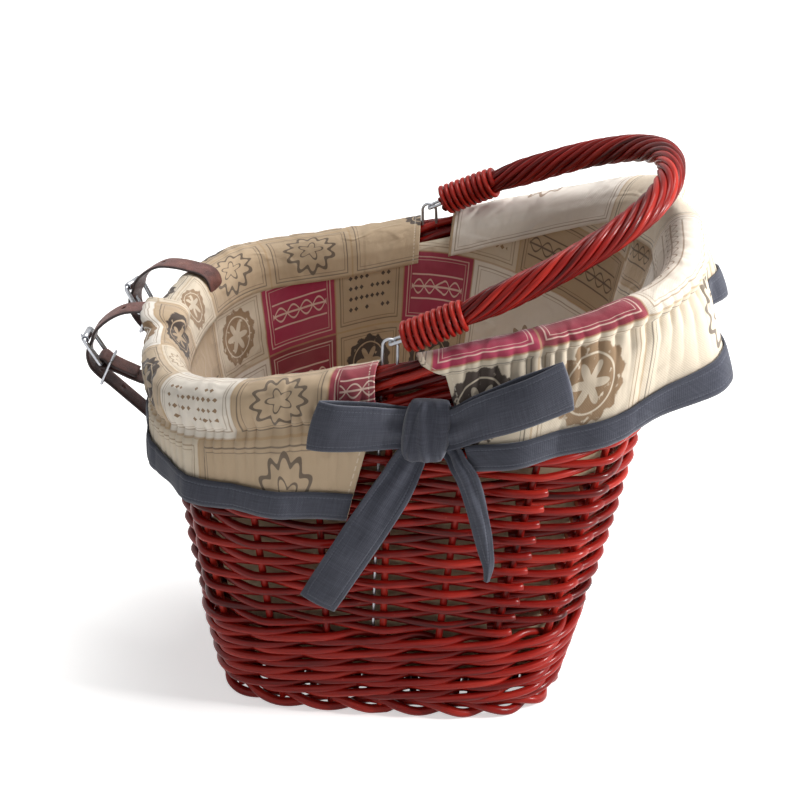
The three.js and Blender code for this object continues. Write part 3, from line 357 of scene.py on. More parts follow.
class Wire:
    """A node's output, which can be added, multiplied and so on; WIRE_MATHS gives it most of its methods."""

    def __init__(self, graph, socket):
        self.graph, self.socket = graph, socket

    def __rsub__(self, other):
        return self.graph.math("SUBTRACT", other, self)

    def step(self, low, high):
        """0 below low, 1 above high, smooth between; falls if high is the lesser."""
        return self.graph.put(
            "ShaderNodeMapRange",
            {0: self, 1: low, 2: high, 3: 0.0, 4: 1.0},
            interpolation_type="SMOOTHSTEP",
        )


WIRE_MATHS = {
    "__add__": "ADD",
    "__sub__": "SUBTRACT",
    "__mul__": "MULTIPLY",
    "__truediv__": "DIVIDE",
    "below": "LESS_THAN",
    "above": "GREATER_THAN",
    "least": "MINIMUM",
    "most": "MAXIMUM",
    "size": "ABSOLUTE",
    "whole": "FLOOR",
    "part": "FRACT",
    "sin": "SINE",
    "cos": "COSINE",
}


def wire_method(operation):
    def method(self, *others):
        return self.graph.math(operation, self, *others)

    return method


for method_name, node_operation in WIRE_MATHS.items():
    setattr(Wire, method_name, wire_method(node_operation))


class Graph:
    """One material's nodes. A shader value that is the same all over is set on the shader itself."""

    def __init__(self, name, **values):
        self.material = bpy.data.materials.new(name)
        self.material.use_nodes = True
        self.tree = self.material.node_tree
        self.shader = self.tree.nodes["Principled BSDF"]
        for key, value in values.items():
            self.shader.inputs[key.replace("_", " ")].default_value = value

    def put(self, kind, inputs=None, output=0, **settings):
        """Make a node with its settings and inputs, and give one of its outputs."""
        node = self.tree.nodes.new(kind)
        for key, value in settings.items():
            setattr(node, key, value)
        for key, value in (inputs or {}).items():
            self.feed(node.inputs[key], value)
        return Wire(self, node.outputs[output])

    def feed(self, socket, value):
        if isinstance(value, Wire):
            self.tree.links.new(value.socket, socket)
        else:
            socket.default_value = value

    def set(self, key, value):
        self.feed(self.shader.inputs[key], value)

    def math(self, operation, *values):
        return self.put("ShaderNodeMath", dict(enumerate(values)), operation=operation)

    def split(self, vector):
        """The three parts of a vector."""
        node = self.tree.nodes.new("ShaderNodeSeparateXYZ")
        self.feed(node.inputs[0], vector)
        return [Wire(self, output) for output in node.outputs]

    def join(self, x=0.0, y=0.0, z=0.0):
        return self.put("ShaderNodeCombineXYZ", {0: x, 1: y, 2: z})

    def uv(self):
        """The piece's own UV in millimetres, as two values."""
        return self.split(self.put("ShaderNodeTexCoord", output="UV"))[:2]

    def place(self):
        """Object coordinates in millimetres."""
        metres = self.put("ShaderNodeTexCoord", output="Object")
        return self.put("ShaderNodeVectorMath", {0: metres, 3: 1000.0}, operation="SCALE")

    def attribute(self, name):
        return self.put("ShaderNodeAttribute", output="Fac", attribute_name=name)

    def noise(self, vector, scale=1.0, detail=2.0, rough=0.5):
        inputs = {"Vector": vector, "Scale": scale, "Detail": detail, "Roughness": rough}
        return self.put("ShaderNodeTexNoise", inputs)

    def chance(self, x, y=0.0):
        """A value from 0 to 1 for each pair of whole numbers."""
        place = self.join(x, y, 3.7)
        return self.put("ShaderNodeTexWhiteNoise", {"Vector": place}, noise_dimensions="3D")

    def mix(self, part, a, b):
        return self.put("ShaderNodeMix", {0: part, 6: a, 7: b}, output=2, data_type="RGBA")

    def ramp(self, value, *stops):
        """Colours by value, with straight changes between the stops."""
        node = self.tree.nodes.new("ShaderNodeValToRGB")
        self.feed(node.inputs[0], value)
        elements = node.color_ramp.elements
        while len(elements) < len(stops):
            elements.new(1.0)
        for element, (place, shade) in zip(elements, stops):
            element.position, element.color = place, shade
        return Wire(self, node.outputs[0])

    def bump(self, height, distance, strength=1.0):
        """Bumps that stand distance millimetres high where height is 1."""
        inputs = {"Height": height, "Distance": distance / 1000, "Strength": strength}
        self.set("Normal", self.put("ShaderNodeBump", inputs))


def willow():
    """Stained and varnished rods: streaks along each rod, a shade per rod, duller cut ends and pinkish
    patches of wear and painted highlight.
    """
    found = bpy.data.materials.get("varnished_willow")
    if found:
        return found
    settings = bpy.context.scene.basket_shell
    stains = settings.willow_dark, settings.willow_mid, settings.willow_bright
    dark, mid, bright = ((*stain, 1) for stain in stains)
    g = Graph("varnished_willow", Coat_Weight=0.24, Coat_Roughness=0.2, Specular_IOR_Level=0.06)
    u, v = g.uv()
    rod = g.attribute("rod")
    turn = v * TAU
    grain = g.noise(g.join(turn.cos() * 1.3, turn.sin() * 1.3, u * 0.035 + rod * 91.0), 1.0, 4.0, 0.6)
    blotch = g.noise(g.join(turn.cos() * 0.5, rod * 37.0, u * 0.012), 1.0, 2.0)
    tone = grain * 0.55 + blotch * 0.35 + rod * 0.32 - 0.1
    body = g.ramp(tone, (0.28, dark), (0.52, mid), (0.8, bright))
    # Lighter pinkish patches: partly worn varnish, partly painted highlight
    wear_and_highlight = g.noise(g.place(), 0.35, 3.0).step(0.68, 0.8) * 0.3
    worn_and_highlit = g.mix(wear_and_highlight, body, colour("c8604a"))
    g.set("Base Color", g.mix(g.attribute("edge") * 0.85, worn_and_highlit, colour("8a4630")))
    g.set("Roughness", grain * 0.3 + 0.25)
    fibre = g.noise(g.join(turn.cos() * 6.0, turn.sin() * 6.0, u * 0.05 + rod * 51.0), 1.0, 2.0)
    g.bump(fibre * 0.6 + grain, 0.22, 0.7)
    return g.material


def metal_material(name, tint, roughness):
    """Plated wire, a little cloudy and unevenly bright."""
    g = Graph(name, Metallic=1.0)
    cloud = g.noise(g.place(), 0.5, 3.0)
    g.set("Base Color", g.mix(cloud, tint, colour("8e9096")))
    g.set("Roughness", g.noise(g.place(), 1.4, 3.0) * 0.25 + (roughness - 0.1))
    g.bump(g.noise(g.place(), 2.5, 2.0), 0.06)
    return g.material


def leather_material():
    """Brown leather: fine grain, darker on the belt's edges and its cut ends."""
    g = Graph("strap_leather", Specular_IOR_Level=0.45)
    cell = g.put("ShaderNodeTexVoronoi", {"Vector": g.place(), "Scale": 1.1}, feature="DISTANCE_TO_EDGE")
    cloud = g.noise(g.place(), 0.12, 4.0)
    face = g.ramp(cloud, (0.3, colour("4a2823")), (0.55, colour("6b3f37")), (0.75, colour("80554a")))
    g.set("Base Color", g.mix(g.attribute("edge"), face, colour("2a1614")))
    g.set("Roughness", g.noise(g.place(), 0.6, 3.0) * 0.25 + 0.32)
    g.bump(cell.step(0.0, 0.25) + g.noise(g.place(), 0.7, 3.0) * 0.8, 0.16)
    return g.material


SEAM_FROM_EDGE = 3.5
TOPSTITCH_FROM_EDGE = 3.4
PRINT_SCALE = 1.3
PANEL_HEIGHT = 76.0


def print_pattern(g, u, v):
    """Patchwork print of unequal panels in cream, tan, white and a little crimson, each in thin frames.

    A panel is 66 to 110 mm wide before the scale, and may be halved either way. By chance it carries a
    scalloped seal, small diamonds, a wreath or a band of crossing waves. There is no lettering.
    """
    u, v = u / PRINT_SCALE, v / PRINT_SCALE
    high = PANEL_HEIGHT
    row = (v / high).whole()
    wide = g.chance(row, 5.0) * 44.0 + 66.0
    across = u / wide + g.chance(row, 9.0) * 7.0
    split = g.chance(across.whole(), row)
    small = split.above(0.6)
    columns, rows = small + 1.0, split.above(0.3) + 1.0
    x_in, y_in = across.part() * columns, (v / high).part() * rows
    x = (x_in.part() - 0.5) * wide / columns
    y = (y_in.part() - 0.5) * high / rows
    edge = (wide / columns * 0.5 - x.size()).least(rows * (-high / 4) + high * 0.75 - y.size())
    cell = (across.whole() * 2.0 + x_in.whole(), row * 2.0 + y_in.whole())
    kind, tint = g.chance(*cell), g.chance(cell[0] + 31.0, cell[1] + 7.0)

    cream, white, tan = colour("d6c8b3"), colour("e8e1d7"), colour("b9a184")
    ground = g.mix(tint.step(0.4, 0.43), tan, cream)
    ground = g.mix(tint.step(0.8, 0.82), ground, white)
    is_red = small * kind.above(0.7)
    field = g.mix(is_red, ground, g.mix(tint.step(0.4, 0.6), colour("860a31"), colour("a30f47")))
    ink = g.mix(tint.step(0.62, 0.66), colour("352826"), colour("8f7254"))
    ink = g.mix(is_red, ink, colour("e7cdbd"))

    def line(value, at, half):
        """1 within half of the place at, and 0 further off."""
        return (value - at).size().step(half + 0.2, half - 0.2)

    frames = line(edge, 3.0, 0.3).most(line(edge, 4.7, 0.15)) * 0.7
    radius = g.math("SQRT", x * x + y * y)
    angle = g.math("ARCTAN2", y, x)
    torn = g.noise(g.join(x * 0.35, y * 0.35, kind * 50.0), 1.0, 3.0)
    seal = (radius + (angle * 14.0).cos() * 0.7 + torn * 3.0).step(16.2, 15.4)
    seal = seal * (1.0 - line(radius, 10.4, 0.35))
    petals = (radius - (angle * 6.0).cos() * 2.6).step(6.2, 5.6)
    seal = seal * (1.0 - petals * 0.8) * torn.step(0.72, 0.6)
    diamonds = ((x / 3.4).part() - 0.5).size() + ((y / 5.6).part() - 0.5).size() * 1.6
    inside = edge.step(7.0, 7.6)
    printed = g.chance((x / 3.4).whole(), (y / 5.6).whole()).above(0.3)
    marks = diamonds.step(0.42, 0.34) * inside * printed
    leaves = (radius - 12.0 - (angle * 11.0).sin() * 1.7).size().step(1.3, 0.9)
    wreath = leaves.most((radius - 5.0 - (angle * 5.0).cos() * 1.8).size().step(0.7, 0.4))
    swing = (x * 0.42).sin() * 3.6
    band = line(y, 0.0, 0.5).most(line(y - swing, 0.0, 0.5)).most(line(y + swing, 0.0, 0.5))
    band = (band + line(y.size(), 6.4, 0.4)).least(1.0) * edge.step(5.4, 5.8)

    shape = seal * kind.below(0.24) + marks * kind.above(0.24) * kind.below(0.5)
    shape = shape + wreath * 0.8 * kind.above(0.5) * kind.below(0.7) + band * kind.above(0.7) * 0.8
    shade = g.mix(frames.most(shape).least(1.0), field, ink)
    return g.mix(edge.step(0.7, 0.3) * 0.6, shade, colour("b08f66"))


def cotton_material():
    """Printed cotton, a little faded and crumpled, with its weave and a stitched hem along its edges."""
    g = Graph("liner_print", Roughness=0.92, Sheen_Weight=0.25, Sheen_Roughness=0.5)
    g.set("Specular IOR Level", 0.15)
    u, v = g.uv()
    sway = g.noise(g.join(u * 0.02, v * 0.02), 1.0, 1.0) * 2.0
    base = print_pattern(g, u + sway, v + sway * 0.7)
    faded = g.mix(g.noise(g.join(u * 0.03, v * 0.03), 1.0, 3.0) * 0.16, base, colour("d8ccba"))
    thread = (u * 5.2).sin() * (v * 5.2).sin()
    from_seam = (g.attribute("edge") - SEAM_FROM_EDGE).size()
    stitch = from_seam.step(0.55, 0.3) * (v / 2.6).part().below(0.62)
    g.set("Base Color", g.mix(stitch * 0.45, faded, colour("e6dccb")))
    crease = (g.noise(g.join(u * 0.02 + 40.0, v * 0.028), 1.0, 2.0) - 0.5).size().step(0.06, 0.0)
    wrinkle = g.noise(g.join(u * 0.05, v * 0.034), 1.0, 3.0) * 16.0 + crease * 3.0
    g.bump(thread * 0.35 + g.noise(g.join(u, v), 0.9, 3.0) + wrinkle + from_seam.step(0.0, 0.9), 0.12)
    return g.material


def lining_material():
    """The bag's outer side: coarse pale tan linen, its tan partly painted shade for the dim gaps behind the
    weave.
    """
    g = Graph("tan_linen_and_painted_shade", Roughness=0.95, Specular_IOR_Level=0.1)
    u, v = g.uv()
    cloud = g.noise(g.place(), 0.05, 3.0)
    # Tan darker than the print: partly the linen's colour, partly painted shade seen through the weave's
    # gaps
    g.set("Base Color", g.mix(cloud, colour("bda789"), colour("d8c5a6")))
    g.bump((u * 4.0).sin() * (v * 4.0).sin() * 0.5 + g.noise(g.join(u, v), 0.8, 3.0), 0.2)
    return g.material


def band_material():
    """Slate chambray: pale and dark threads crossing, a topstitched line along both edges."""
    g = Graph("slate_chambray", Roughness=0.9, Sheen_Weight=0.2, Sheen_Roughness=0.5)
    g.set("Specular IOR Level", 0.12)
    u, v = g.uv()
    warp = g.noise(g.join(u * 0.06, v * 1.9), 1.0, 2.0)
    weft = g.noise(g.join(u * 1.9, v * 0.06), 1.0, 2.0)
    cloud = g.noise(g.place(), 0.04, 3.0)
    tone = warp * 0.4 + weft * 0.4 + cloud * 0.25
    base = g.ramp(tone, (0.34, colour("3a3b45")), (0.52, colour("464852")), (0.7, colour("53555f")))
    edge = g.attribute("edge")
    run = (edge - TOPSTITCH_FROM_EDGE).size()
    stitch = run.step(0.42, 0.22) * (u / 2.3).part().below(0.66)
    edged = g.mix(edge.step(0.9, 0.2) * 0.3, base, colour("62656f"))
    g.set("Base Color", g.mix(stitch * 0.35, edged, colour("6a6d78")))
    weave = (u * 5.0).sin() * (v * 5.0).sin()
    g.bump(run.step(0.0, 0.8) * 0.9 + weave * 0.25 + g.noise(g.join(u, v), 0.6, 3.0) * 0.7, 0.22)
    return g.material


# Willow

def bent(angle):
    """A cosine that runs nearly straight between its turns: asin(0.95 cos) / asin(0.95)."""
    return np.arcsin(0.95 * np.cos(angle)) / math.asin(0.95)


POINTS_PER_BAY = 11


def siding(settings):
    """Randing: each level row is one rod, offset = -5.8 + a bent(20 pi f), opposite in alternate rows.

    A full row starts with a blunt end outside the corner stake and ends inside it; rows that meet the
    sloping upper wale end there.
    """
    surface = Surface()
    rng = np.random.default_rng(11)
    rod = settings.rod_diameter * 1000
    amplitude = 0.42 * (STAKE_DIAMETER + rod)
    half = np.linspace(0, 0.5, 1001)
    z, row = LOWER_WALE_TOP + 0.3 + rod * 0.7, 0
    while z < rim_over(0.0) - UPPER_WALE_DEPTHS[1] - 3:
        free = rim_over(half) - z > UPPER_WALE_DEPTHS[1] + rod * 0.5
        if free.all():
            seam = (2 if row % 2 else 3) / STAKES
            f = np.linspace(seam - 0.009, seam + 1.006, STAKES * POINTS_PER_BAY)
            sway = bent(STAKES * math.pi * (f - seam))
            sway = np.where(f > seam + 1 - 1 / STAKES, -1, sway)
        else:
            last = half[np.argmin(free)]
            count = max(int(2 * last * STAKES * POINTS_PER_BAY), 8)
            f = np.linspace(-last, last, count)
            sway = (1 if row % 2 else -1) * bent(STAKES * math.pi * f)
        wobble = waves(f, 100 + row, 9) * 0.45 + waves(f, 300 + row, 5, 6) * 0.3
        path = wall(f, WEAVE_MIDDLE + amplitude * sway, z + wobble)
        radius = rod / 2 * (1 + 0.07 * waves(f, 500 + row, 4)) * rng.uniform(0.93, 1.06)
        surface.rod(path, radius, 8, rod=rng.random())
        z += settings.row_pitch * 1000 * rng.uniform(0.96, 1.04)
        row += 1
    return surface


def over_foot(fraction, offset, height):
    """The wall at a height over the foot border, from 0.6 mm over it."""
    return wall(fraction, offset, FOOT_HEIGHT + 0.6 + height)


def under_rim(fraction, offset, height):
    """The wall at a height over the upper wale's lower edge, from 0.3 mm over it."""
    return wall_under(fraction, offset, UPPER_WALE_DEPTHS[1] - 0.3 - height)


def wale(at, height, rounds, rod, seed):
    """Three-rod wale: rods that each pass outside two stakes and inside one, and climb a round per turn.

    Along one rod the phase p runs through three bays, and the offset from the stakes' line is
    a tanh(1.6 (cos(2 pi (p - 1/3)) + 0.33)) / 0.95.
    Its height falls by one round over the outside two thirds and comes back inside.
    """
    surface = Surface()
    rng = np.random.default_rng(seed)
    pitch = height / rounds
    amplitude = 0.44 * (STAKE_DIAMETER + rod)
    for strand in range(3):
        turn = np.linspace(0, rounds, rounds * STAKES * 9)
        fraction = 0.75 + turn
        phase = np.mod((STAKES * fraction - strand) / 3 + 1 / 6, 1)
        sway = np.tanh(1.6 * (np.cos(TAU * (phase - 1 / 3)) + 0.33)) / 0.95
        outside = phase / (2 / 3)
        fall = np.where(outside < 1, 0.5 - outside, -0.5 + smooth((phase - 2 / 3) * 3))
        whole = np.minimum(np.floor(turn), rounds - 1)
        part = turn - whole
        climb = whole + np.where(whole < rounds - 1, smooth((part - 0.93) / 0.07), 0)
        uneven = waves(turn / rounds, seed + strand, 9, 7) * 0.35
        level = (climb + 0.5) * pitch + fall * (pitch - 2.2) + uneven
        radius = rod / 2 * (1 + 0.06 * waves(turn / rounds, seed + 40 + strand, 7, 5))
        path = at(fraction, WEAVE_MIDDLE + amplitude * sway, level)
        surface.rod(path, radius, 8, rod=rng.random())
    return surface


def rope_ring(surface, centre, strands, across, up, rod, turns, seed, sides=9):
    """Strands wound round a closed ring: centre + (a cos t, b sin t), t turning a whole number of times.

    The function centre gives a point from its fraction, and how far out and up it is from the ring's line.
    """
    rng = np.random.default_rng(seed)
    f = np.arange(STAKES * 16) / (STAKES * 16)
    for strand in range(strands):
        wobble = waves(f, seed + strand, 7, 5)
        angle = TAU * (f * turns + strand / strands) + wobble * 0.08
        path = centre(f, across * np.cos(angle) + wobble * 0.3, up * np.sin(angle) + wobble * 0.2)
        surface.rod(path, rod / 2 * (1 + 0.05 * wobble), sides, closed=True, rod=rng.random())
    return surface


def foot_border(settings):
    """Two thick rods wound round each other, lying on the ground, with small eyes between them."""
    rod = settings.foot_rod_diameter * 1000

    def centre(f, out, up):
        flat = BASE.at(f, -6.5 + out)
        return np.concatenate([flat, (rod / 2 + 3.3 + up)[..., None]], axis=-1)

    return rope_ring(Surface(), centre, strands=2, across=3.6, up=3.4, rod=rod, turns=11, seed=21, sides=10)


def top_border():
    """Rolled border: six strands wound in an oval round a thick core, seen between the cuffs."""

    def centre(f, out, up):
        return wall_under(f, -BORDER_WIDTH / 2 + out, BORDER_DEPTH - up)

    surface = rope_ring(Surface(), centre, strands=6, across=5.3, up=-7.9, rod=5.2, turns=4, seed=31)
    return rope_ring(surface, centre, strands=1, across=0, up=0, rod=9.0, turns=1, seed=32, sides=8)


STAKE_FOOT_Z = 7
STAKE_TOP_DEPTH = 16


def stakes():
    """Straight stakes from the foot border into the top border, with a slight bow."""
    surface = Surface()
    for k in range(STAKES):
        f = k / STAKES
        top = rim_over(f) - STAKE_TOP_DEPTH
        z = np.linspace(STAKE_FOOT_Z, top, 24)
        bow = np.sin(math.pi * (z - STAKE_FOOT_Z) / (top - STAKE_FOOT_Z)) * 0.7 * math.sin(5.0 * k)
        path = wall(f + bow * 0.0006, WEAVE_MIDDLE, z)
        radius = np.linspace(STAKE_DIAMETER / 2 + 0.1, STAKE_DIAMETER / 2 - 0.2, 24)
        surface.rod(path, radius, 9, up=(1, 0.3, 0), rod=(k * 0.37) % 1)
    return surface


BASE_Z = 16.3
STICK_GAP = 40


def base_weave():
    """Flat skeins woven across three sticks: z = 16.3 + 3.3 cos(pi y / 40), opposite in every second one."""
    surface = Surface()
    rng = np.random.default_rng(41)
    for y in (-STICK_GAP, 0, STICK_GAP):
        path = np.stack([np.linspace(-100.2, 100.2, 30), np.full(30, y), np.full(30, BASE_Z)], axis=-1)
        surface.rod(path, 2.5, 9, rod=rng.random())
    for row, x in enumerate(np.arange(-101.5, 101.6, 4.7)):
        reach = 70.5 * (1 - abs(x / 104.2) ** 4) ** 0.25
        y = np.linspace(-reach, reach, 56)
        z = BASE_Z + (1 if row % 2 else -1) * 3.3 * np.cos(math.pi * y / STICK_GAP)
        path = np.stack([x + 0.4 * waves(y / 150, 60 + row, 4), y, z], axis=-1)
        surface.rod(path, 2.3, 8, flat=0.42, rod=rng.random())
    return surface


# Bail

def bail_place(points):
    """From the bail's own frame, its hinge line along Y and its reach along X, to the part's."""
    c, s = math.cos(BAIL_TILT), math.sin(BAIL_TILT)
    x, y, z = np.moveaxis(np.asarray(points, float), -1, 0)
    return np.stack([HINGE[0] + x * c - z * s, y, HINGE[2] + x * s + z * c], axis=-1)


BAIL_WOUND_LENGTH = 38.5
BAIL_END_ANGLE = math.acos((BAIL_END_FROM_HINGE / BAIL_REACH) ** (1 / BAIL_EXPONENT))


def taken_at(places, length, rows):
    """The rows of points or directions along a path, taken at other lengths along it."""
    return np.stack([np.interp(places, length, column) for column in rows.T], axis=-1)


def bail_line(count):
    """Middle line from the near end to the far: x = 177 cos^e t, y = 110.5 sin^e t, with its lengths."""
    t = np.linspace(-BAIL_END_ANGLE, BAIL_END_ANGLE, 4001)
    x = BAIL_REACH * power(np.cos(t), BAIL_EXPONENT)
    y = BAIL_HALF_WIDTH * power(np.sin(t), BAIL_EXPONENT)
    points = np.stack([x, y, t * 0], axis=-1)
    _, length = along_path(points)
    even = np.linspace(0, length[-1], count)
    return taken_at(even, length, points), even


def bail_ring(line, tangent, reach, angle):
    """Points round the bail's middle line: line + reach (cos t n + sin t z)."""
    normal = np.stack([tangent[:, 1], -tangent[:, 0], tangent[:, 0] * 0], axis=-1)
    around = np.cos(angle)[:, None] * normal + np.sin(angle)[:, None] * [0, 0, 1.0]
    return line + reach[:, None] * around


def bail_rope(settings):
    """Rods laid side by side round a core and twisted, thinner where the bail's ends are wound."""
    surface = Surface()
    rng = np.random.default_rng(51)
    line, length = bail_line(420)
    tangent, _ = along_path(line)
    total = length[-1]
    from_end = np.minimum(length, total - length) - BAIL_WOUND_LENGTH
    outer = lerp(BAIL_END_DIAMETER, BAIL_DIAMETER, smooth(from_end / 24)) / 2
    strands = settings.strands
    twist = TAU * length / (settings.twist_length * 1000)
    for k in range(strands):
        rod = outer * TAU / (strands + math.pi) * rng.uniform(0.96, 1.06)
        wobble = waves(length / total, 700 + k, 6, 3)
        angle = twist + TAU * k / strands + wobble * 0.07
        reach = outer - rod / 2 + wobble * 0.25
        path = bail_ring(line, tangent, reach, angle)
        short = rng.integers(0, 2)
        path = path[short : len(path) - rng.integers(0, 2)]
        radius = rod[short : short + len(path)] / 2
        surface.rod(bail_place(path), radius, 8, up=(0.3, 0.1, 1), rod=rng.random())
    surface.rod(bail_place(line[3:-3]), outer[3:-3] - 3.4, 8, rod=0.0)
    return surface


def bail_wrap(sign):
    """A thin rod wound round the bail's end, nine turns 4 mm apart, its two ends tucked in."""
    line, length = bail_line(1200)
    tangent, _ = along_path(line)
    turns, pitch, rod = 9, 4.0, 3.3
    start, end = -0.3, turns + 0.35
    t = np.linspace(start, end, turns * 26)
    at = 2.5 + t * pitch
    at = at if sign < 0 else length[-1] - at
    tuck = np.minimum(smooth((t - start) / 0.3), smooth((end - t) / 0.35))
    reach = BAIL_END_DIAMETER / 2 + rod / 2 - 0.2 - (1 - tuck) * 1.6
    centre, along = taken_at(at, length, line), taken_at(at, length, tangent)
    path = bail_ring(centre, along, reach, TAU * t + math.pi / 4)
    surface = Surface()
    surface.rod(bail_place(path), rod / 2, 8, up=(0.2, 0.3, 1), rod=0.8)
    return surface


WIRE_RADIUS = 1.0
HANGER_BEND = 4.5
HANGER_FOOT_Z = 72.0
HANGER_BESIDE_STAKE = 5.9
EYE_HALF_WIDTH = 3.5
EYE_LEG = 22


def hanger(sign):
    """Wire: up beside the centre stake, over the bail's eye in a half circle, and a short leg down."""
    f = 0.25 if sign < 0 else 0.75
    turn = np.linspace(math.pi, 0, 19)
    x = HINGE[0] + HANGER_BEND * np.cos(turn)
    z = HINGE[2] - 2.2 + HANGER_BEND * np.sin(turn)
    bow = np.stack([x, np.full(19, sign * HINGE[1]), z], axis=-1)
    low = wall(f, -WALL / 2, HANGER_FOOT_Z) - [HANGER_BESIDE_STAKE, 0, 0]
    neck = wall_under(f, -WALL / 2, UPPER_WALE_DEPTHS[0] - 2)
    neck[0] = bow[0, 0] - 0.6
    leg = lerp(low, neck, np.linspace(0, 1, 40)[:, None])
    end = bow[-1] + np.array([0, sign * 4.0, -16.0]) * np.linspace(0.25, 1, 4)[:, None]
    surface = Surface()
    surface.rod(np.vstack([leg, bow, end]), WIRE_RADIUS, 9, up=(0, 1, 0))
    return surface


def eye(sign):
    """Wire U in the bail's end, its bar on the hinge line."""
    end = sign * BAIL_HALF_WIDTH * power(math.sin(BAIL_END_ANGLE), BAIL_EXPONENT)
    bar, half = sign * HINGE[1], EYE_HALF_WIDTH
    leg = [(EYE_LEG, end, half), (2, bar, half), (0.5, bar, half - 0.4), (0, bar, half - 1.6)]
    points = [(x, y + across, 0) for x, y, across in leg]
    points += [(x, y - across, 0) for x, y, across in reversed(leg)]
    path = spline(points, False, 6)
    surface = Surface()
    surface.rod(bail_place(path), WIRE_RADIUS, 9, up=(0, 0.1, 1))
    return surface


# Straps. Each lies in its own plane: u outwards from the rim, h up, w along the belt's width. STRAPS holds
# its distance along the rim from the strap end, its turn in degrees and how far its tail stands out.

# The buckle frame's two bars across the belt, and the slope of the belt's doubled end
HEEL = np.array([34.6, -35.5])
ROLLER = np.array([44.7, -18.5])
SLOPE = math.radians(24)
TO_RIM = np.array([-math.cos(SLOPE), -math.sin(SLOPE)])
UNDER = np.array([math.sin(SLOPE), -math.cos(SLOPE)])
STRAPS = {
    "near": {"along": 12.4, "turn": 0.0, "tail": 0.0},
    "far": {"along": 81.0, "turn": 20.0, "tail": 7.0},
}


def strap_turn(side, vectors):
    """Directions of a strap's own plane, turned to the part's."""
    turn = math.pi - math.radians(STRAPS[side]["turn"])
    u = np.array([math.cos(turn), math.sin(turn), 0])
    up = np.array([0, 0, 1.0])
    return np.asarray(vectors, float) @ np.array([u, up, np.cross(u, up)])


def strap_place(side, points):
    """Points of a strap's own plane, in the part's frame; its origin is on the even rim."""
    fraction = 0.5 + 0.25 * STRAPS[side]["along"] / CUFF_SPAN["rear"]
    return strap_turn(side, points) + [*RIM.at(fraction), rim_over(fraction)]


def from_heel(along, under):
    """A place of the belt's doubled end: so far from the heel bar towards the rim, and so far under it."""
    return HEEL + along * TO_RIM + under * UNDER


def belt_route(tail_out, thickness):
    """The belt's middle line: round the heel bar, into the shell, over the rim and roller, down the tail."""
    layer, fold = thickness / 2 + 0.15, 1.5 + 0.45 + thickness / 2
    points = [from_heel(24, -layer), from_heel(10, -layer), from_heel(4, -1.9)]
    for k in range(7):
        turn = -math.pi / 2 + math.pi * k / 6
        points.append(from_heel(-fold * math.cos(turn), fold * math.sin(turn)))
    points += [from_heel(4, 1.9), from_heel(10, layer), from_heel(22, layer)]
    points += [
        (6, -48.6), (-5, -49), (-16, -49), (-19.6, -48), (-20.6, -45), (-19.8, -40), (-18.4, -32),
        (-18.9, -25), (-20.1, -15), (-20.4, -8), (-18.6, -2), (-14, 1.4), (-4, 2.4), (8, 2.6), (20, 0.6),
        (31, -6), (38.6, -14.2), (40.7, -20.6), (43.4, -26), (44, -32), (42.2, -38.4), (37.8, -43.8),
        (30, -50.4), (20 + 0.6 * tail_out, -59.6), (6 + tail_out, -72.6), (1.2 * tail_out, -79),
    ]
    return np.array([(*point, 0.0) for point in points])


BELT_SIDES = 28
TIP_LENGTH = 9
HOLE_PITCH = 19


def belt(side, settings):
    """A flat band with rounded edges along its route: w = 8 cos^0.28, n = 1.1 sin^0.55, with their signs."""
    thickness, width = settings.thickness * 1000, settings.width * 1000
    path = spline(belt_route(STRAPS[side]["tail"], thickness), False, 9)
    tangent, length = along_path(path)
    normal = np.stack([-tangent[:, 1], tangent[:, 0], tangent[:, 0] * 0], axis=-1)
    angle = (np.arange(BELT_SIDES) + 0.5) * TAU / BELT_SIDES
    across = width / 2 * power(np.cos(angle), 0.28)
    thick = thickness / 2 * power(np.sin(angle), 0.55)
    from_tip = np.minimum((length[-1] - length) / TIP_LENGTH, 1)
    narrow = np.sqrt(np.clip(1 - (1 - from_tip) ** 2, 0.02, 1))
    ring = path[:, None] + thick[None, :, None] * normal[:, None]
    ring[..., 2] += across[None] * narrow[:, None]
    surface = Surface()
    edge = np.broadcast_to(smooth((np.abs(across) - (width / 2 - 1.0)) / 0.8)[None], ring.shape[:2])
    around = np.linspace(0, 2 * width, BELT_SIDES + 1)
    surface.grid(strap_place(side, ring), False, True, length, around, edge=edge.ravel())
    k = np.arange(BELT_SIDES)
    fan = np.stack([k, (k + 1) % BELT_SIDES, np.full(BELT_SIDES, BELT_SIDES)], axis=-1)
    for end, faces in ((0, fan[:, ::-1]), (-1, fan)):
        points = strap_place(side, np.vstack([ring[end], path[end]]))
        surface.add(points, faces, np.zeros((faces.size, 2)), edge=1.0)
    return surface


def punched(side, settings):
    """Places and directions of the holes on both sides of the one that the prong uses, 19 mm apart."""
    path = spline(belt_route(STRAPS[side]["tail"], settings.thickness * 1000), False, 40)
    tangent, length = along_path(path)
    frame_line = unit(ROLLER - HEEL)
    crossing = HEEL + 12.3 * frame_line + 3.2 * np.array([frame_line[1], -frame_line[0]])
    half = len(path) // 2
    used = length[half + np.argmin(np.linalg.norm(path[half:, :2] - crossing, axis=1))]
    found = []
    for step in (-2, -1, 1, 2):
        k = np.argmin(np.abs(length - used - step * HOLE_PITCH))
        found.append((path[k], np.array([-tangent[k, 1], tangent[k, 0], 0])))
    return found


def cutters(side, settings):
    """What is cut out of the belt: its punched holes."""
    surface = Surface()
    for place, across in punched(side, settings):
        line = place + across * np.linspace(-4, 4, 3)[:, None]
        surface.rod(strap_place(side, line), 1.7, 12, up=(0.1, 1, 0.2))
    return surface


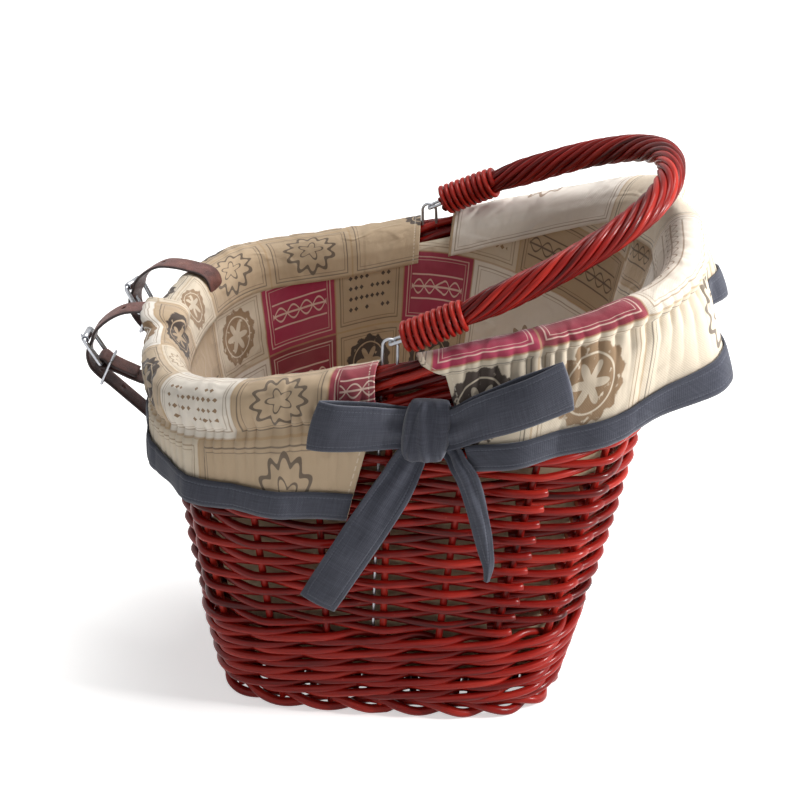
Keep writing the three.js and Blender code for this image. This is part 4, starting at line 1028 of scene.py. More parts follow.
def loop(side, start, end, half_width, rod, corner=2.0, steps=7):
    """Closed wire loop, a rectangle with round corners between two lines across the belt."""
    down = end - start
    length = np.linalg.norm(down)
    down = down / length

    def at(along, across):
        return np.stack([start[0] + down[0] * along, start[1] + down[1] * along, across], axis=-1)

    points = []
    for quarter in range(4):
        centre_along = length - corner if quarter in (0, 3) else corner
        centre_across = half_width - corner if quarter < 2 else corner - half_width
        turn = math.pi / 2 * (quarter + np.linspace(0, 1, steps))
        points.append(at(centre_along + corner * np.cos(turn), centre_across + corner * np.sin(turn)))
        if quarter in (0, 2):
            side_end = at(corner, half_width) if quarter == 0 else at(length - corner, -half_width)
            points.append(lerp(points[-1][-1], side_end, np.linspace(0, 1, 6)[1:-1, None]))
    surface = Surface()
    out = strap_turn(side, [down[1], -down[0], 0])
    surface.rod(strap_place(side, np.vstack(points)), rod / 2, 12, closed=True, up=out)
    return surface


def turned(side, centre, profile):
    """A ring round a line across the belt, from a half profile of places along that line and radii."""
    angle = np.arange(24) * TAU / 24
    circle = np.stack([np.cos(angle), np.sin(angle)], axis=-1)
    rings = [np.column_stack([centre + radius * circle, np.full(24, w)]) for w, radius in profile]
    surface = Surface()
    surface.grid(strap_place(side, np.array(rings)), True, True)
    return surface


def roller(side):
    """A tube round the frame's outer bar, with rounded rims."""
    outer, inner, half = 2.7, 1.86, 7.5
    rim = [(half - 0.2, outer), (half, outer - 0.25), (half, inner)]
    return turned(side, ROLLER, [(-w, radius) for w, radius in reversed(rim)] + rim)


def prong(side):
    """A sleeve on the heel bar and a tapering pin on the roller, bent down a little at its tip."""
    line = unit(ROLLER - HEEL)
    out = np.array([line[1], -line[0]])
    reach = np.linalg.norm(ROLLER - HEEL)
    outer, inner, half = 3.2, 1.85, 1.3
    rim = [(half - 0.2, outer), (half, outer - 0.25), (half, inner)]
    surface = turned(side, HEEL, [(-w, radius) for w, radius in reversed(rim)] + rim)
    tip = reach + 2.5
    along = np.linspace(0.4, tip, 18)
    rise = lerp(2.7, 4.1, along / tip) - 0.5 * smooth((along - reach) / 3)
    pin = HEEL + along[:, None] * line + rise[:, None] * out
    path = np.column_stack([pin, np.zeros(18)])
    radius = np.linspace(1.1, 0.85, 18)
    radius[-1] = 0.45
    surface.rod(strap_place(side, path), radius, 10, up=strap_turn(side, [0, 0, 1]))
    return surface


# Cloth

# The front skirt's corners that stand out: how far at the hem, where, and their spread before and after
WINGS = [(23, 0.062, 0.016, 0.03), (17, -0.012, 0.02, 0.014), (8, -0.09, 0.03, 0.03)]
GATHER_OFFSET = 2.4
SKIRT_BELLY = 2.2
SKIRT_FOLD = 2.4
SKIRT_FOLDS = 9


def hem_depth(end, fraction):
    """The hem's depth under the rim.

    The rear hem is level at z = 168.5 on its near part, and 5 mm higher from just before the strap end on.
    The front hem is 83 mm under the rim, 20 mm less round the front end, and 6 mm less again at a corner.
    """
    if end == "rear":
        return rim_over(fraction) - REAR_HEM_Z - 5 * smooth((fraction - 0.38) / 0.06)
    wings = 6 * lobe(fraction, -0.012, 0.02, 0.014)
    return FRONT_HEM_DEPTH - FRONT_HEM_RISE * smooth((0.15 - np.abs(fraction)) / 0.12) - wings


def slit_part(end, depth):
    """How far a cuff's edge is from the centre stake at a depth, as a part of the way round.

    The edge runs straight from the crest to the gather, and straight from there to the hem.
    """
    gather = GATHER_DEPTH[end]
    hem = hem_depth(end, np.array(0.27))
    over = lerp(SLIT_AT_CREST[end], SLIT_AT_GATHER[end], np.clip(depth, 0, None) / gather)
    below = lerp(SLIT_AT_GATHER[end], SLIT_AT_HEM[end], (depth - gather) / (hem - gather))
    return 0.25 * np.where(depth < gather, over, below) / CUFF_SPAN[end]


def cuff_fraction(end, across, depth):
    """The fraction on a cuff, across from -1 to 1: its middle + across (0.25 - the slit's part)."""
    return CUFF_MIDDLE[end] + across * (0.25 - slit_part(end, depth))


def skirt_drop(end, across):
    """The skirt's height from the gather to the hem."""
    gather = GATHER_DEPTH[end]
    return hem_depth(end, cuff_fraction(end, across, gather)) - gather


def skirt(end, across, part):
    """Places on the skirt: a flare as part^0.8, less at the slits, with folds that grow to the hem."""
    depth = GATHER_DEPTH[end] + part * skirt_drop(end, across)
    fraction = cuff_fraction(end, across, depth)
    from_middle = np.abs(fraction - CUFF_MIDDLE[end])
    from_slit = (0.25 - from_middle) / 0.25 * CUFF_SPAN[end] - SLIT_AT_GATHER[end]
    opened = smooth(from_slit / 60)
    flare = lerp(SKIRT_FLARE_AT_SLIT[end], SKIRT_FLARE[end], opened)
    wings = sum(out * lobe(fraction, *where) for out, *where in WINGS) if end == "front" else 0.0
    fold = SKIRT_FOLD * opened * np.sin(TAU * SKIRT_FOLDS * from_middle / 0.5)
    belly = SKIRT_BELLY * opened * smooth(part * 5)
    offset = GATHER_OFFSET + belly + flare * part**0.8 + (fold + wings) * part
    return fraction, offset, depth


def puckers(fraction, pitch, seed):
    """Rounded ridges with sharp valleys between: |sin(pi k)|^0.8, k wandering about its even count."""
    wander = waves(fraction, seed, 9, 9) * 0.8 + waves(fraction, seed + 1, 9, 25) * 0.4
    k = np.round(PERIMETER / pitch) * fraction + wander
    return np.abs(np.sin(math.pi * k)) ** 0.8 - 0.6


BROAD_PITCH = 23
CREASE = 1.6
PUCKER_SHARE = {"rear": 1.0, "front": 0.7}
RIDGES_ABOVE = {"rear": 13, "front": 9}
CUFF_PUFF = {"rear": 2.4, "front": 1.8}


def pucker_height(end, settings):
    """The height of a cuff's ridges in millimetres."""
    return settings.pucker_height * 1000 * PUCKER_SHARE[end]


def ridges_below(below):
    """The broad ridges' strength under the gather: they fade over about 28 mm."""
    return smooth(below / 12) * (0.15 + 0.4 * np.exp(-below / 28))


def broad_ridges(fraction, depth, height, strength):
    """Ridges 23 mm apart that wander, and slanting creases between them."""
    ridge = puckers(fraction + 0.0015 * waves(depth / 80, 5, 2), BROAD_PITCH, 71)
    crease = waves(fraction * 7 + depth / 120, 77, 6) * waves(fraction * 3 - depth / 90, 78, 5)
    return (height * 0.75 * ridge + CREASE * crease) * strength


def calm_at_ends(across):
    """1 on a cuff, falling to 0 over the last of it at both slits."""
    return smooth((1 - np.abs(across)) / 0.03)


# The rear cuff's way over the near strap, in the strap's own plane
OVER_BELT = [
    (-20.6, -9.8), (-22.2, -5), (-21.2, 0.5), (-17, 3.6), (-10, 4.6), (-2, 4.9), (3.5, 4.6), (6.6, 2.4),
    (6.2, -1), (4, -4.6), (0.3, -7.6),
]
CUFF_COLUMNS = 560
ROLLED = 24
INSIDE = 8


def cuff_places(end, across):
    """A cuff's places from its inner edge to its hem: the fraction, offset and depth of every point.

    It goes straight up inside, over the border as an oval of powers 0.8, in to the gather and down the
    skirt. The rear one goes over the near strap by a line of its own.
    """
    level = 0 * across
    inside = np.linspace(0, 1, INSIDE + 1)[:-1, None]
    offset, depth = lerp(-21.2, -20.4, inside) + level, lerp(27.0, 10.6, inside) + level
    inner = (cuff_fraction(end, across, 0 * inside), offset, depth)

    turns = np.radians(np.linspace(166, 24, ROLLED))[:, None]
    side = np.where(np.cos(turns) < 0, BORDER_WIDTH / 2 + 3.4, BORDER_WIDTH / 2 + 2.4)
    out = side * power(np.cos(turns), 0.8) - BORDER_WIDTH / 2
    down = BORDER_DEPTH - 13.2 * power(np.sin(turns), 0.8)
    fraction = cuff_fraction(end, across, np.where(np.cos(turns) < 0, 0.0, down))
    offset, depth = out + level, down + level
    if end == "rear":
        line = spline([(u, z, 0) for u, z in OVER_BELT], False, 12)
        line = line[np.linspace(0, len(line) - 1, ROLLED).astype(int)]
        along = (fraction - 0.5) / 0.25 * CUFF_SPAN["rear"] - STRAPS["near"]["along"]
        raised = smooth((23 - np.abs(along)) / 13)
        offset = lerp(offset, line[:, :1] + 0.19 * np.clip(-line[:, 1:2], 0, None), raised)
        depth = lerp(depth, -line[:, 1:2], raised)
    over = (fraction, offset, depth)

    neck = np.linspace(0, 1, 14 if end == "rear" else 6)[1:, None]
    depth = lerp(down[-1, 0], GATHER_DEPTH[end], neck)
    offset = lerp(out[-1, 0], GATHER_OFFSET, smooth(neck * 1.6)) + level
    outer = (cuff_fraction(end, across, depth), offset, depth + level)

    below = skirt(end, across, np.linspace(0, 1, 44)[1:, None])
    return [np.vstack(rows) for rows in zip(inner, over, outer, below)]


def cuff(end, settings):
    """Over the border as an oval, in at the elastic and out as a skirt, with ridges from the elastic."""
    across = np.linspace(-1, 1, CUFF_COLUMNS)[None]
    fraction, offset, depth = cuff_places(end, across)
    gather = GATHER_DEPTH[end]
    below = np.clip(depth - gather, 0, None)
    above = np.clip(gather - depth, 0, None)
    outer = smooth((offset + 9) / 7)
    calm = calm_at_ends(across)
    height = pucker_height(end, settings)
    fine = np.exp(-below / 17) * np.exp(-((above / RIDGES_ABOVE[end]) ** 2)) * outer
    fine = fine * puckers(fraction, settings.pucker_pitch * 1000, 73)
    strength = np.where(depth < gather, outer * smooth(above / 6) * 0.6, ridges_below(below))
    puff = np.sin(math.pi * np.clip(above / max(gather - 2.0, 8), 0, 1)) * CUFF_PUFF[end] * outer
    puff = puff * (1 + 0.5 * waves(fraction * 2, 79, 6, 3)) * (1 - smooth((4 - above) / 4) * 0.3)
    offset = offset + puff + calm * (height * fine + broad_ridges(fraction, depth, height, strength))
    points = wall_under(fraction, offset, depth - 0.3 * fine * calm)
    rolled = slice(INSIDE, INSIDE + ROLLED)
    lift = waves(fraction[rolled] * 9 + depth[rolled] / 60, 81, 6) * 0.7
    lift = lift + waves(fraction[rolled] * 2, 82, 6, 3) * 1.1
    points[rolled, :, 2] += np.clip(lift, -0.2, 2.4) * calm

    steps = np.linalg.norm(np.diff(points[:, CUFF_COLUMNS // 2], axis=0), axis=1)
    v = np.broadcast_to(np.concatenate([[0], np.cumsum(steps)])[:, None], fraction.shape)
    width = length_along(points)
    edge = np.minimum(width, width[:, -1:] - width)
    surface = Surface()
    surface.grid(points, u=fraction * PERIMETER, v=v, edge=edge.ravel())
    return surface, v[-1, 0]


def hem_band(end, settings):
    """A strip of another cloth sewn over the hem, 18 mm wide, riding on the skirt's outer face."""
    across = np.linspace(-1, 1, 520)[None]
    part = np.linspace(0, 1, 9)[:, None]
    top = 1 - BAND_WIDTH / skirt_drop(end, across)
    fraction, offset, depth = skirt(end, across, lerp(top, 1.004, part))
    strength = ridges_below(depth - GATHER_DEPTH[end])
    ridges = broad_ridges(fraction, depth, pucker_height(end, settings), strength)
    curl = 1.5 + 0.7 * np.sin(math.pi * part) ** 0.5
    points = wall_under(fraction, offset + calm_at_ends(across) * ridges + curl, depth)
    u = length_along(points)
    v = np.broadcast_to(part * BAND_WIDTH, u.shape)
    edge = np.minimum(v, BAND_WIDTH - v)
    surface = Surface()
    surface.grid(points, u=u, v=v, edge=edge.ravel())
    return surface, float(u[4, -1])


def elastic(end):
    """A flat elastic, 6 mm wide, round the wall under the cuff's gather."""
    across = np.linspace(-1, 1, 260)[:, None]
    depth = GATHER_DEPTH[end] + np.array([-3.0, 0, 3.0])[None]
    fraction = cuff_fraction(end, across, depth)
    points = wall_under(fraction, 0.4, depth)
    surface = Surface()
    surface.grid(points[:, ::-1], u=fraction * PERIMETER, v=depth + 0 * fraction, edge=9.0)
    return surface


BAG_FLOOR_Z = 21.4
BAG_CORNER = 9.0
BAG_COLUMNS = 420
FLOOR_PRINT_SHIFT = 400


def bag_walls(f):
    """The bag's walls inside the shell, with slack folds and a rounded corner at the floor."""
    top = rim_over(f) - 14
    z = lerp(BAG_FLOOR_Z, top, np.linspace(0, 1, 56)[None])
    depth = rim_over(f) - z
    offset = np.interp(depth, [14, 22, 30, 50, 120], [-19.6, -19.2, -18.6, -16.6, -15.0])
    rise = z - BAG_FLOOR_Z
    to_corner = 1 - np.clip(rise / BAG_CORNER, 0, 1)
    offset = offset - BAG_CORNER * (1 - np.sqrt(1 - to_corner**2))
    slack = smooth(rise / 30) * smooth((depth - 27) / 34)
    folds = waves(f + 0.01 * waves(z / 260, 91, 2), 92, 7, 3) * 1.9 + waves(f - z / 900, 93, 9, 11) * 1.0
    dimples = waves(f * 5 + z / 140, 94, 5) * waves(z / 170 - f * 2, 95, 4) * 1.4
    return wall(f, offset - slack * (2.2 + folds + dimples).clip(0, 6), z)


def bag():
    """Inside the shell: walls, and a floor whose print is laid out flat and that closes in one point."""
    count = BAG_COLUMNS
    walls = bag_walls((np.arange(count) / count)[:, None])
    inward = np.linspace(0, 1, 18)[1:-1][None, :, None]
    bottom = lerp(walls[:, :1], np.array([0, 0, BAG_FLOOR_Z]), inward)
    dents = waves(bottom[..., 0] / 230, 96, 4) * waves(bottom[..., 1] / 170, 97, 4)
    bottom[..., 2] = BAG_FLOOR_Z + 0.9 * dents.clip(0, 1)
    grid = np.concatenate([bottom[:, ::-1], walls], axis=1)
    floor_rows = inward.size + 1
    round_again = np.concatenate([grid, grid[:1]], axis=0)
    v = length_along(round_again)
    u = np.broadcast_to((np.arange(count + 1) / count * PERIMETER)[:, None], v.shape).copy()
    u[:, :floor_rows] = round_again[:, :floor_rows, 0] + FLOOR_PRINT_SHIFT
    v[:, :floor_rows] = round_again[:, :floor_rows, 1] + FLOOR_PRINT_SHIFT
    edge = np.full(grid.shape[:2], 50.0)
    edge[:, floor_rows:] = grid[:, -1:, 2] - grid[:, floor_rows:, 2]
    surface = Surface()
    first = surface.grid(grid, closed_u=True, u=u, v=v, edge=edge.ravel())
    centre = np.array([[0, 0, BAG_FLOOR_Z + 0.3]])
    middle = surface.add(centre, np.zeros((0, 3), int), np.zeros((0, 2)), edge=50.0)
    k = np.arange(count)
    rows = grid.shape[1]
    fan = np.stack([first + k * rows, np.full(count, middle), first + ((k + 1) % count) * rows], axis=-1)
    surface.faces.extend(fan.tolist())
    flat = np.full(count, float(FLOOR_PRINT_SHIFT))
    uv = np.stack([u[k, 0], v[k, 0], flat, flat, u[k + 1, 0], v[k + 1, 0]], axis=-1)
    surface.uvs.append(uv.reshape(-1, 2))
    return surface


# Bows. A ribbon is given by places on its middle line: x, distance from the basket's middle plane, z, width,
# and the lean of its width from upright in degrees.

TAILS = [
    (-33, 120, 107, 24, -61), (-14, 122, 140, 25, -60), (4, 123.5, 171, 25, -58),
    (17, 122.2, 193, 23, -55), (27, 119.1, 212, 19, -48), (37, 118.9, 224, 12, 0),
    (50.5, 119.6, 217, 12, 40), (56, 124, 209.5, 13, 52), (61, 125, 201, 14, 62),
    (68, 125.4, 176, 12, 72), (72.5, 124.5, 152, 9.5, 76), (74, 124, 141, 6, 78), (73, 123.6, 131, 2.5, 78),
]
LOOPS = [
    (36, 123.9, 233, 27, 0), (20, 124.2, 234, 27, 3), (6, 126.4, 236, 28, 7), (-20, 129.5, 237, 31, 14),
    (-30.5, 133, 237, 33, 14), (-20, 136.5, 237, 32, 14), (6, 132.6, 236, 29, 7), (20, 126.8, 234, 27, 3),
    (36, 126.8, 233, 27, 0), (52, 128.8, 236, 27, -3), (68, 136, 247, 28, -6), (100, 142, 263, 30, -12),
    (120.5, 139, 273, 31, -13), (102, 136.6, 264, 31, -12), (68, 131, 247, 28, -6), (52, 126.2, 236, 27, -3),
]
KNOT = {"x": 36.5, "out": 126.4, "z": 233.5, "width": 29.0, "depth": 12.0, "height": 41.0}


def ribbon(places, sign, closed, settings, seed):
    """A strip along its middle line, crowned across its width, its pleats deeper near the knot."""
    curve = spline(places, closed, 22)
    x, out, z, width, lean = curve.T
    path = np.stack([x, sign * out, z], axis=-1)
    tangent, length = along_path(path, closed)
    lean = np.radians(lean)
    side = np.stack([np.sin(lean), lean * 0, np.cos(lean)], axis=-1)
    normal = unit(np.cross(tangent, side))
    outward = np.sign(sign * normal[:, 1:2])
    across = np.linspace(-0.5, 0.5, 25)[None]
    near_knot = np.exp(-(((x - KNOT["x"]) / 26) ** 2))[:, None]
    part = length[: len(path)] / length[-1]
    pleat = near_knot * 1.3 * np.cos(across * TAU * 2.0 + waves(part, seed, 2)[:, None] * 1.2)
    crown = settings.crown * 1000 * (1 - near_knot) * (1 - (2 * across) ** 2)
    ripple = waves(part, seed + 1, 5, 3)[:, None] * across * 2.2 * (1 - near_knot)
    lift = pleat + crown * outward + ripple
    sideways = (across * width[:, None])[..., None] * side[:, None]
    points = path[:, None] + sideways + lift[..., None] * normal[:, None]
    edge = np.minimum(across + 0.5, 0.5 - across) * width[:, None]
    if not closed:
        from_end = np.minimum(length, length[-1] - length)
        edge = np.minimum(edge, from_end[:, None])
    mean_width = float(width.mean())
    surface = Surface()
    surface.grid(points, closed_u=closed, u=length, v=(across[0] + 0.5) * mean_width, edge=edge.ravel())
    return surface, float(length[-1]), mean_width


def knot(sign):
    """A puffy band round the middle: an oval ring, crowned across, with slanting folds and curled edges."""
    turn = np.arange(72) * TAU / 72
    a, w = np.meshgrid(turn, np.linspace(-1, 1, 41), indexing="ij")
    front = smooth(np.cos(a) * 1.5)
    crown = -2.6 * w**4
    curl = -3.2 * smooth((np.abs(w) - 0.86) / 0.14)
    fold_line = w + 0.32 * np.sin(a) + 0.12
    folds = 1.3 * np.cos(fold_line * 9.0) * front * (1 - np.abs(w) ** 3)
    creases = -1.6 * np.exp(-(((w + 0.62 - 0.22 * np.sin(a)) / 0.07) ** 2)) * front
    pinch = -1.2 * np.exp(-(((w - 0.5 + 0.35 * np.sin(a)) / 0.09) ** 2)) * front
    grow = crown + curl + folds + creases + pinch
    narrow = lerp(1.0, 0.84, np.sin(a) ** 2)
    out = (KNOT["depth"] / 2 + 1.5 + grow) * power(np.cos(a), 0.7)
    up = (KNOT["height"] / 2 + 0.5 * grow) * power(np.sin(a), 0.7)
    x = KNOT["x"] + w * KNOT["width"] / 2 * narrow + 0.12 * up
    points = np.stack([x, sign * (KNOT["out"] + out), KNOT["z"] + up], axis=-1)
    edge = (1 - np.abs(w)) * KNOT["width"] / 2 + 6
    if sign > 0:
        points, edge = points[:, ::-1], edge[:, ::-1]
    u, v = np.linspace(0, 92, 73), np.linspace(0, 30, 42)
    surface = Surface()
    surface.grid(points, closed_u=True, u=u, v=v, edge=edge.ravel())
    return surface


# Settings, operators and panel

def setting(name, description, default, **kind):
    return FloatProperty(name=name, description=description, default=default, **kind)


def length_setting(name, description, default):
    return setting(name, description, default, subtype="DISTANCE", unit="LENGTH")


def angle_setting(name, description, degrees):
    return setting(name, description, math.radians(degrees), subtype="ANGLE", unit="ROTATION")


def colour_setting(name, description, code):
    shade = colour(code)[:3]
    return FloatVectorProperty(
        name=name, description=description, default=shade, subtype="COLOR", size=3, min=0, max=1
    )


def count_setting(name, description, default, **limits):
    return IntProperty(name=name, description=description, default=default, **limits)


class ShellSettings(bpy.types.PropertyGroup):
    """Sizes and colours of the woven shell."""

    rod_diameter: length_setting("Siding rod", "Diameter of the rods of the open siding", 0.0053)
    row_pitch: length_setting("Row pitch", "Height from one row of siding to the next", 0.0061)
    wale_rod_diameter: length_setting("Wale rod", "Diameter of the rods of the dense bands", 0.0054)
    foot_rod_diameter: length_setting("Foot rod", "Diameter of the rods of the foot border", 0.0060)
    lower_rounds: count_setting("Lower wale rounds", "Rounds of three rods under the siding", 5, min=1)
    upper_rounds: count_setting("Upper wale rounds", "Rounds of three rods over the siding", 3, min=1)
    willow_dark: colour_setting("Darkest stain", "Stain in the darkest streaks", "330605")
    willow_mid: colour_setting("Middle stain", "Stain of most of the willow", "84150f")
    willow_bright: colour_setting("Lightest stain", "Stain of the lightest streaks", "b83427")


class BailSettings(bpy.types.PropertyGroup):
    """Sizes of the bail."""

    strands: count_setting("Rods", "Rods twisted together", 10, min=5, max=16)
    twist_length: length_setting("Twist length", "Length in which a rod goes once round", 0.115)


class StrapSettings(bpy.types.PropertyGroup):
    """Sizes of the straps."""

    width: length_setting("Width", "Width of the belt", 0.016)
    thickness: length_setting("Thickness", "Thickness of the belt", 0.0022)


class LinerSettings(bpy.types.PropertyGroup):
    """Sizes of the cloth liner."""

    pucker_pitch: length_setting("Pucker pitch", "Distance between ridges along the elastic", 0.0085)
    pucker_height: length_setting("Pucker height", "Height of the ridges", 0.0030)
    cloth: length_setting("Cloth thickness", "Thickness of the cloth and its hems", 0.0011)


class BowSettings(bpy.types.PropertyGroup):
    """Sizes of the bows."""

    crown: length_setting("Crown", "How far the middle of a ribbon stands over its edges", 0.0016)
    cloth: length_setting("Cloth thickness", "Thickness of the folded ribbon", 0.0014)


class StageSettings(bpy.types.PropertyGroup):
    """Light, floor and camera."""

    key_power: setting("Key light", "Power of the main lamp", 42.0, unit="POWER")
    fill_power: setting("Fill light", "Power of the lamp on the left", 2.2, unit="POWER")
    ambient: setting("Ambient light", "Strength of the light from all round", 0.19)
    floor_glow: setting("Floor glow", "How bright the floor shines by itself where it is seen", 0.55)
    azimuth: angle_setting("Azimuth", "Camera's direction round the basket", 6.89)
    elevation: angle_setting("Elevation", "Camera's height angle", 26.02)
    roll: angle_setting("Roll", "Camera's roll", -0.45)
    distance: length_setting("Distance", "Camera's distance from its target", 1.7)
    lens: setting("Focal length", "Focal length on a 36 mm sensor", 118.23, subtype="DISTANCE_CAMERA")


SETTINGS = {
    "basket_shell": ShellSettings,
    "basket_bail": BailSettings,
    "basket_strap": StrapSettings,
    "basket_liner": LinerSettings,
    "basket_bow": BowSettings,
    "basket_stage": StageSettings,
}


def thicken(obj, thickness, offset=0.0, back=None):
    """Give a sheet its thickness, and its inner side another material if there is one."""
    modifier = obj.modifiers.new("Thickness", "SOLIDIFY")
    modifier.thickness = thickness
    modifier.offset = offset
    modifier.use_even_offset = False
    if back:
        obj.data.materials.append(back)
        modifier.material_offset = 1
    return obj


class BASKET_OT_shell(bpy.types.Operator):
    """Weave the shell: foot border, base, wales, siding, stakes and top border"""

    bl_idname = "basket.shell"
    bl_label = "Woven shell"

    def execute(self, context):
        settings = context.scene.basket_shell
        rod = settings.wale_rod_diameter * 1000
        pieces = [
            (siding(settings), "woven_siding", ["siding"]),
            (wale(over_foot, 53.6, settings.lower_rounds, rod, 61), "woven_lower_wale", ["lower_wale"]),
            (wale(under_rim, 29.4, settings.upper_rounds, rod, 62), "woven_upper_wale", ["upper_wale"]),
            (foot_border(settings), "woven_foot_border", ["foot_border"]),
            (top_border(), "woven_top_border", ["top_border"]),
            (stakes(), "stake_rods", [f"stake_{k + 1:02d}" for k in range(STAKES)]),
            (base_weave(), "woven_base", ["base_panel", "base_stick_1", "base_stick_2", "base_stick_3"]),
        ]
        for surface, name, nodes in pieces:
            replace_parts(surface.piece(name, willow()), *nodes)
        return {"FINISHED"}


class BASKET_OT_bail(bpy.types.Operator):
    """Twist the bail, bind its ends and hang it on its wires"""

    bl_idname = "basket.bail"
    bl_label = "Bail and its wires"

    def execute(self, context):
        settings = context.scene.basket_bail
        rope = bail_rope(settings).piece("bail_rope", willow(), "bail")
        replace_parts(rope, "bail_hoop")
        galvanised = metal_material("galvanised_wire", colour("b4b6ba"), 0.36)
        for side, sign in (("near", -1), ("far", 1)):
            wrap = bail_wrap(sign).piece(f"bail_binding_{side}", willow(), "bail")
            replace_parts(wrap, f"bail_wrap_{side}")
            ring = eye(sign).piece(f"bail_ring_{side}", galvanised, "bail")
            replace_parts(ring, f"bail_eye_{side}")
            wire = hanger(sign).piece(f"hanger_{side}", galvanised)
            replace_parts(wire, f"hanger_wire_{side}")
        return {"FINISHED"}


class BASKET_OT_straps(bpy.types.Operator):
    """Make the two leather straps with their buckles"""

    bl_idname = "basket.straps"
    bl_label = "Straps and buckles"

    def execute(self, context):
        settings = context.scene.basket_strap
        leather = leather_material()
        nickel = metal_material("nickel", colour("c9cbd0"), 0.2)
        half = settings.width * 500 + 0.3
        keeper_line = from_heel(5, -4.3), from_heel(5, 13.3)
        for side in STRAPS:
            strap = belt(side, settings).piece(f"belt_{side}", leather)
            holes = cutters(side, settings).piece(f"hole_{side}", leather)
            cut_out(strap, holes)
            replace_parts(strap, f"strap_{side}")
            parts = [
                (loop(side, HEEL, ROLLER, half + 1.5, 3.0), "buckle_frame", "basket"),
                (loop(side, *keeper_line, half + 1.0, 2.0, 1.5), "strap_keeper", f"keeper_{side}"),
                (roller(side), "buckle_roller", f"roller_{side}"),
                (prong(side), "buckle_prong", f"prong_{side}"),
            ]
            for surface, name, body in parts:
                piece = surface.piece(f"shown_{name}_{side}", nickel, body)
                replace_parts(piece, f"{name}_{side}")
        return {"FINISHED"}


def cut_out(obj, tool):
    """Cut tool's volume out of obj's mesh, and remove the tool."""
    modifier = obj.modifiers.new("Holes", "BOOLEAN")
    modifier.operation, modifier.solver, modifier.object = "DIFFERENCE", "EXACT", tool
    depsgraph = bpy.context.evaluated_depsgraph_get()
    mesh = bpy.data.meshes.new_from_object(obj.evaluated_get(depsgraph))
    obj.modifiers.clear()
    old, obj.data = obj.data, mesh
    bpy.data.meshes.remove(old)
    bpy.data.objects.remove(tool)


class BASKET_OT_liner(bpy.types.Operator):
    """Make the cloth liner: bag, cuffs and their hem bands"""

    bl_idname = "basket.liner"
    bl_label = "Cloth liner"

    def execute(self, context):
        settings = context.scene.basket_liner
        printed = cotton_material()
        slate = band_material()
        lining = thicken(bag().piece("liner_bag_cloth", lining_material()), settings.cloth, back=printed)
        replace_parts(lining, "liner_bag")
        for end in ("rear", "front"):
            surface, drop = cuff(end, settings)
            cloth = thicken(surface.piece(f"cuff_{end}_cloth", printed), settings.cloth)
            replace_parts(cloth, f"cuff_{end}")
            surface, run = hem_band(end, settings)
            band = thicken(surface.piece(f"hem_band_{end}", slate), 0.0011, 1.0)
            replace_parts(band, f"band_{end}")
            cord = thicken(elastic(end).piece(f"elastic_strip_{end}", slate), 0.001, 1.0)
            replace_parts(cord, f"elastic_{end}")
        return {"FINISHED"}


class BASKET_OT_bows(bpy.types.Operator):
    """Tie a bow on each side"""

    bl_idname = "basket.bows"
    bl_label = "Bows"

    def execute(self, context):
        settings = context.scene.basket_bow
        slate = bpy.data.materials["slate_chambray"]
        for side, sign in (("near", -1), ("far", 1)):
            for name, places, closed in (("loops", LOOPS, True), ("tails", TAILS, False)):
                surface, run, width = ribbon(places, sign, closed, settings, 110 + 7 * closed + sign)
                piece = thicken(surface.piece(f"ribbon_{name}_{side}", slate), settings.cloth)
                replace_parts(piece, f"bow_{name}_{side}")
            piece = thicken(knot(sign).piece(f"knot_{side}", slate), settings.cloth, -1.0)
            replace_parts(piece, f"bow_knot_{side}")
        return {"FINISHED"}


SEEN_RAYS = ("Is Camera Ray", "Is Glossy Ray", "Is Transmission Ray")
TARGET = Vector(((5.42 + SHIFT_X) / 1000, 0, 0.19072))
TOP_SHARE = 0.68
SENSOR_WIDTH = 36


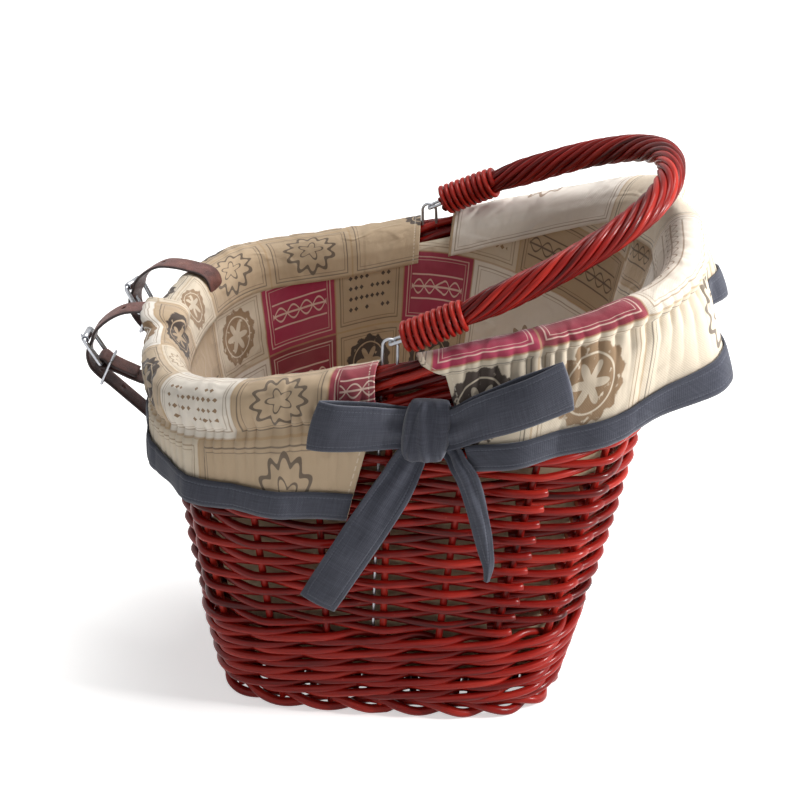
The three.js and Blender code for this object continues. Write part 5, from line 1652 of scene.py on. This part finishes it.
class BASKET_OT_stage(bpy.types.Operator):
    """Set up the floor, the lamps, the background and the camera"""

    bl_idname = "basket.stage"
    bl_label = "Stage"

    def execute(self, context):
        settings = context.scene.basket_stage
        g = Graph("pale_floor", Roughness=0.9, Specular_IOR_Level=0.1)
        g.set("Base Color", g.mix(g.noise(g.place(), 0.004), colour("efefee"), colour("f4f3f1")))
        seen = [g.put("ShaderNodeLightPath", output=ray) for ray in SEEN_RAYS]
        g.set("Emission Color", colour("ffffff"))
        g.set("Emission Strength", (seen[0] + seen[1] + seen[2]) * settings.floor_glow)
        mesh = bpy.data.meshes.new("floor")
        mesh.from_pydata([(-4, -4, 0), (4, -4, 0), (4, 4, 0), (-4, 4, 0)], [], [(0, 1, 2, 3)])
        mesh.materials.append(g.material)
        floor = bpy.data.objects.new("floor", mesh)
        context.collection.objects.link(floor)

        lamps = [
            ("key_lamp", (1.7, -0.25, 0.9), settings.key_power, 0.4),
            ("fill_lamp", (-0.6, -1.6, 0.9), settings.fill_power, 1.2),
            ("top_lamp", (0.2, 0.4, 1.9), settings.key_power * TOP_SHARE, 1.0),
        ]
        for name, place, watts, size in lamps:
            lamp = bpy.data.lights.new(name, "AREA")
            lamp.energy, lamp.size = watts, size
            obj = bpy.data.objects.new(name, lamp)
            obj.location = place
            obj.rotation_euler = (TARGET - obj.location).to_track_quat("-Z", "Y").to_euler()
            context.collection.objects.link(obj)

        world = bpy.data.worlds.new("studio")
        context.scene.world = world
        world.use_nodes = True
        tree = world.node_tree
        tree.nodes.clear()
        out = tree.nodes.new("ShaderNodeOutputWorld")
        light = tree.nodes.new("ShaderNodeBackground")
        path = tree.nodes.new("ShaderNodeLightPath")
        light.inputs["Color"].default_value = (1, 1, 1, 1)
        strength = None
        for ray in SEEN_RAYS:
            add = tree.nodes.new("ShaderNodeMath")
            add.operation = "MULTIPLY_ADD"
            tree.links.new(path.outputs[ray], add.inputs[0])
            add.inputs[1].default_value = 1.0 - settings.ambient
            add.inputs[2].default_value = settings.ambient
            if strength:
                tree.links.new(strength, add.inputs[2])
            strength = add.outputs[0]
        tree.links.new(strength, light.inputs["Strength"])
        tree.links.new(light.outputs[0], out.inputs[0])

        a, e, r = settings.azimuth, settings.elevation, settings.roll
        back = Vector((math.sin(a) * math.cos(e), -math.cos(a) * math.cos(e), math.sin(e)))
        level = Vector((math.cos(a), math.sin(a), 0))
        upright = back.cross(level)
        right = level * math.cos(r) + upright * math.sin(r)
        up = upright * math.cos(r) - level * math.sin(r)
        camera = bpy.data.cameras.new("camera")
        camera.lens, camera.sensor_width = settings.lens, SENSOR_WIDTH
        camera.clip_end = 20
        obj = bpy.data.objects.new("camera", camera)
        turn = Matrix((right, up, back)).transposed().to_4x4()
        obj.matrix_world = Matrix.Translation(TARGET + back * settings.distance) @ turn
        context.collection.objects.link(obj)
        context.scene.camera = obj
        context.scene.view_settings.view_transform = "Standard"
        return {"FINISHED"}


OPERATORS = (
    BASKET_OT_shell,
    BASKET_OT_bail,
    BASKET_OT_straps,
    BASKET_OT_liner,
    BASKET_OT_bows,
    BASKET_OT_stage,
)


class BASKET_PT_panel(bpy.types.Panel):
    """Sidebar panel with the sizes and one button per group of pieces"""

    bl_idname = "BASKET_PT_panel"
    bl_label = "Wicker basket"
    bl_space_type = "VIEW_3D"
    bl_region_type = "UI"
    bl_category = "Basket"

    def draw(self, context):
        for key, operator in zip(SETTINGS, OPERATORS):
            box = self.layout.box()
            box.operator(operator.bl_idname, text=operator.bl_label)
            for name in SETTINGS[key].__annotations__:
                box.prop(getattr(context.scene, key), name)


CLASSES = (*SETTINGS.values(), *OPERATORS, BASKET_PT_panel)


def register():
    for cls in CLASSES:
        bpy.utils.register_class(cls)
    for key, cls in SETTINGS.items():
        setattr(bpy.types.Scene, key, PointerProperty(type=cls))


def unregister():
    for key in SETTINGS:
        delattr(bpy.types.Scene, key)
    for cls in reversed(CLASSES):
        bpy.utils.unregister_class(cls)


def main():
    """Build everything through the operators."""
    register()
    for operator in OPERATORS:
        group, name = operator.bl_idname.split(".")
        getattr(getattr(bpy.ops, group), name)()


if __name__ == "__main__":
    main()
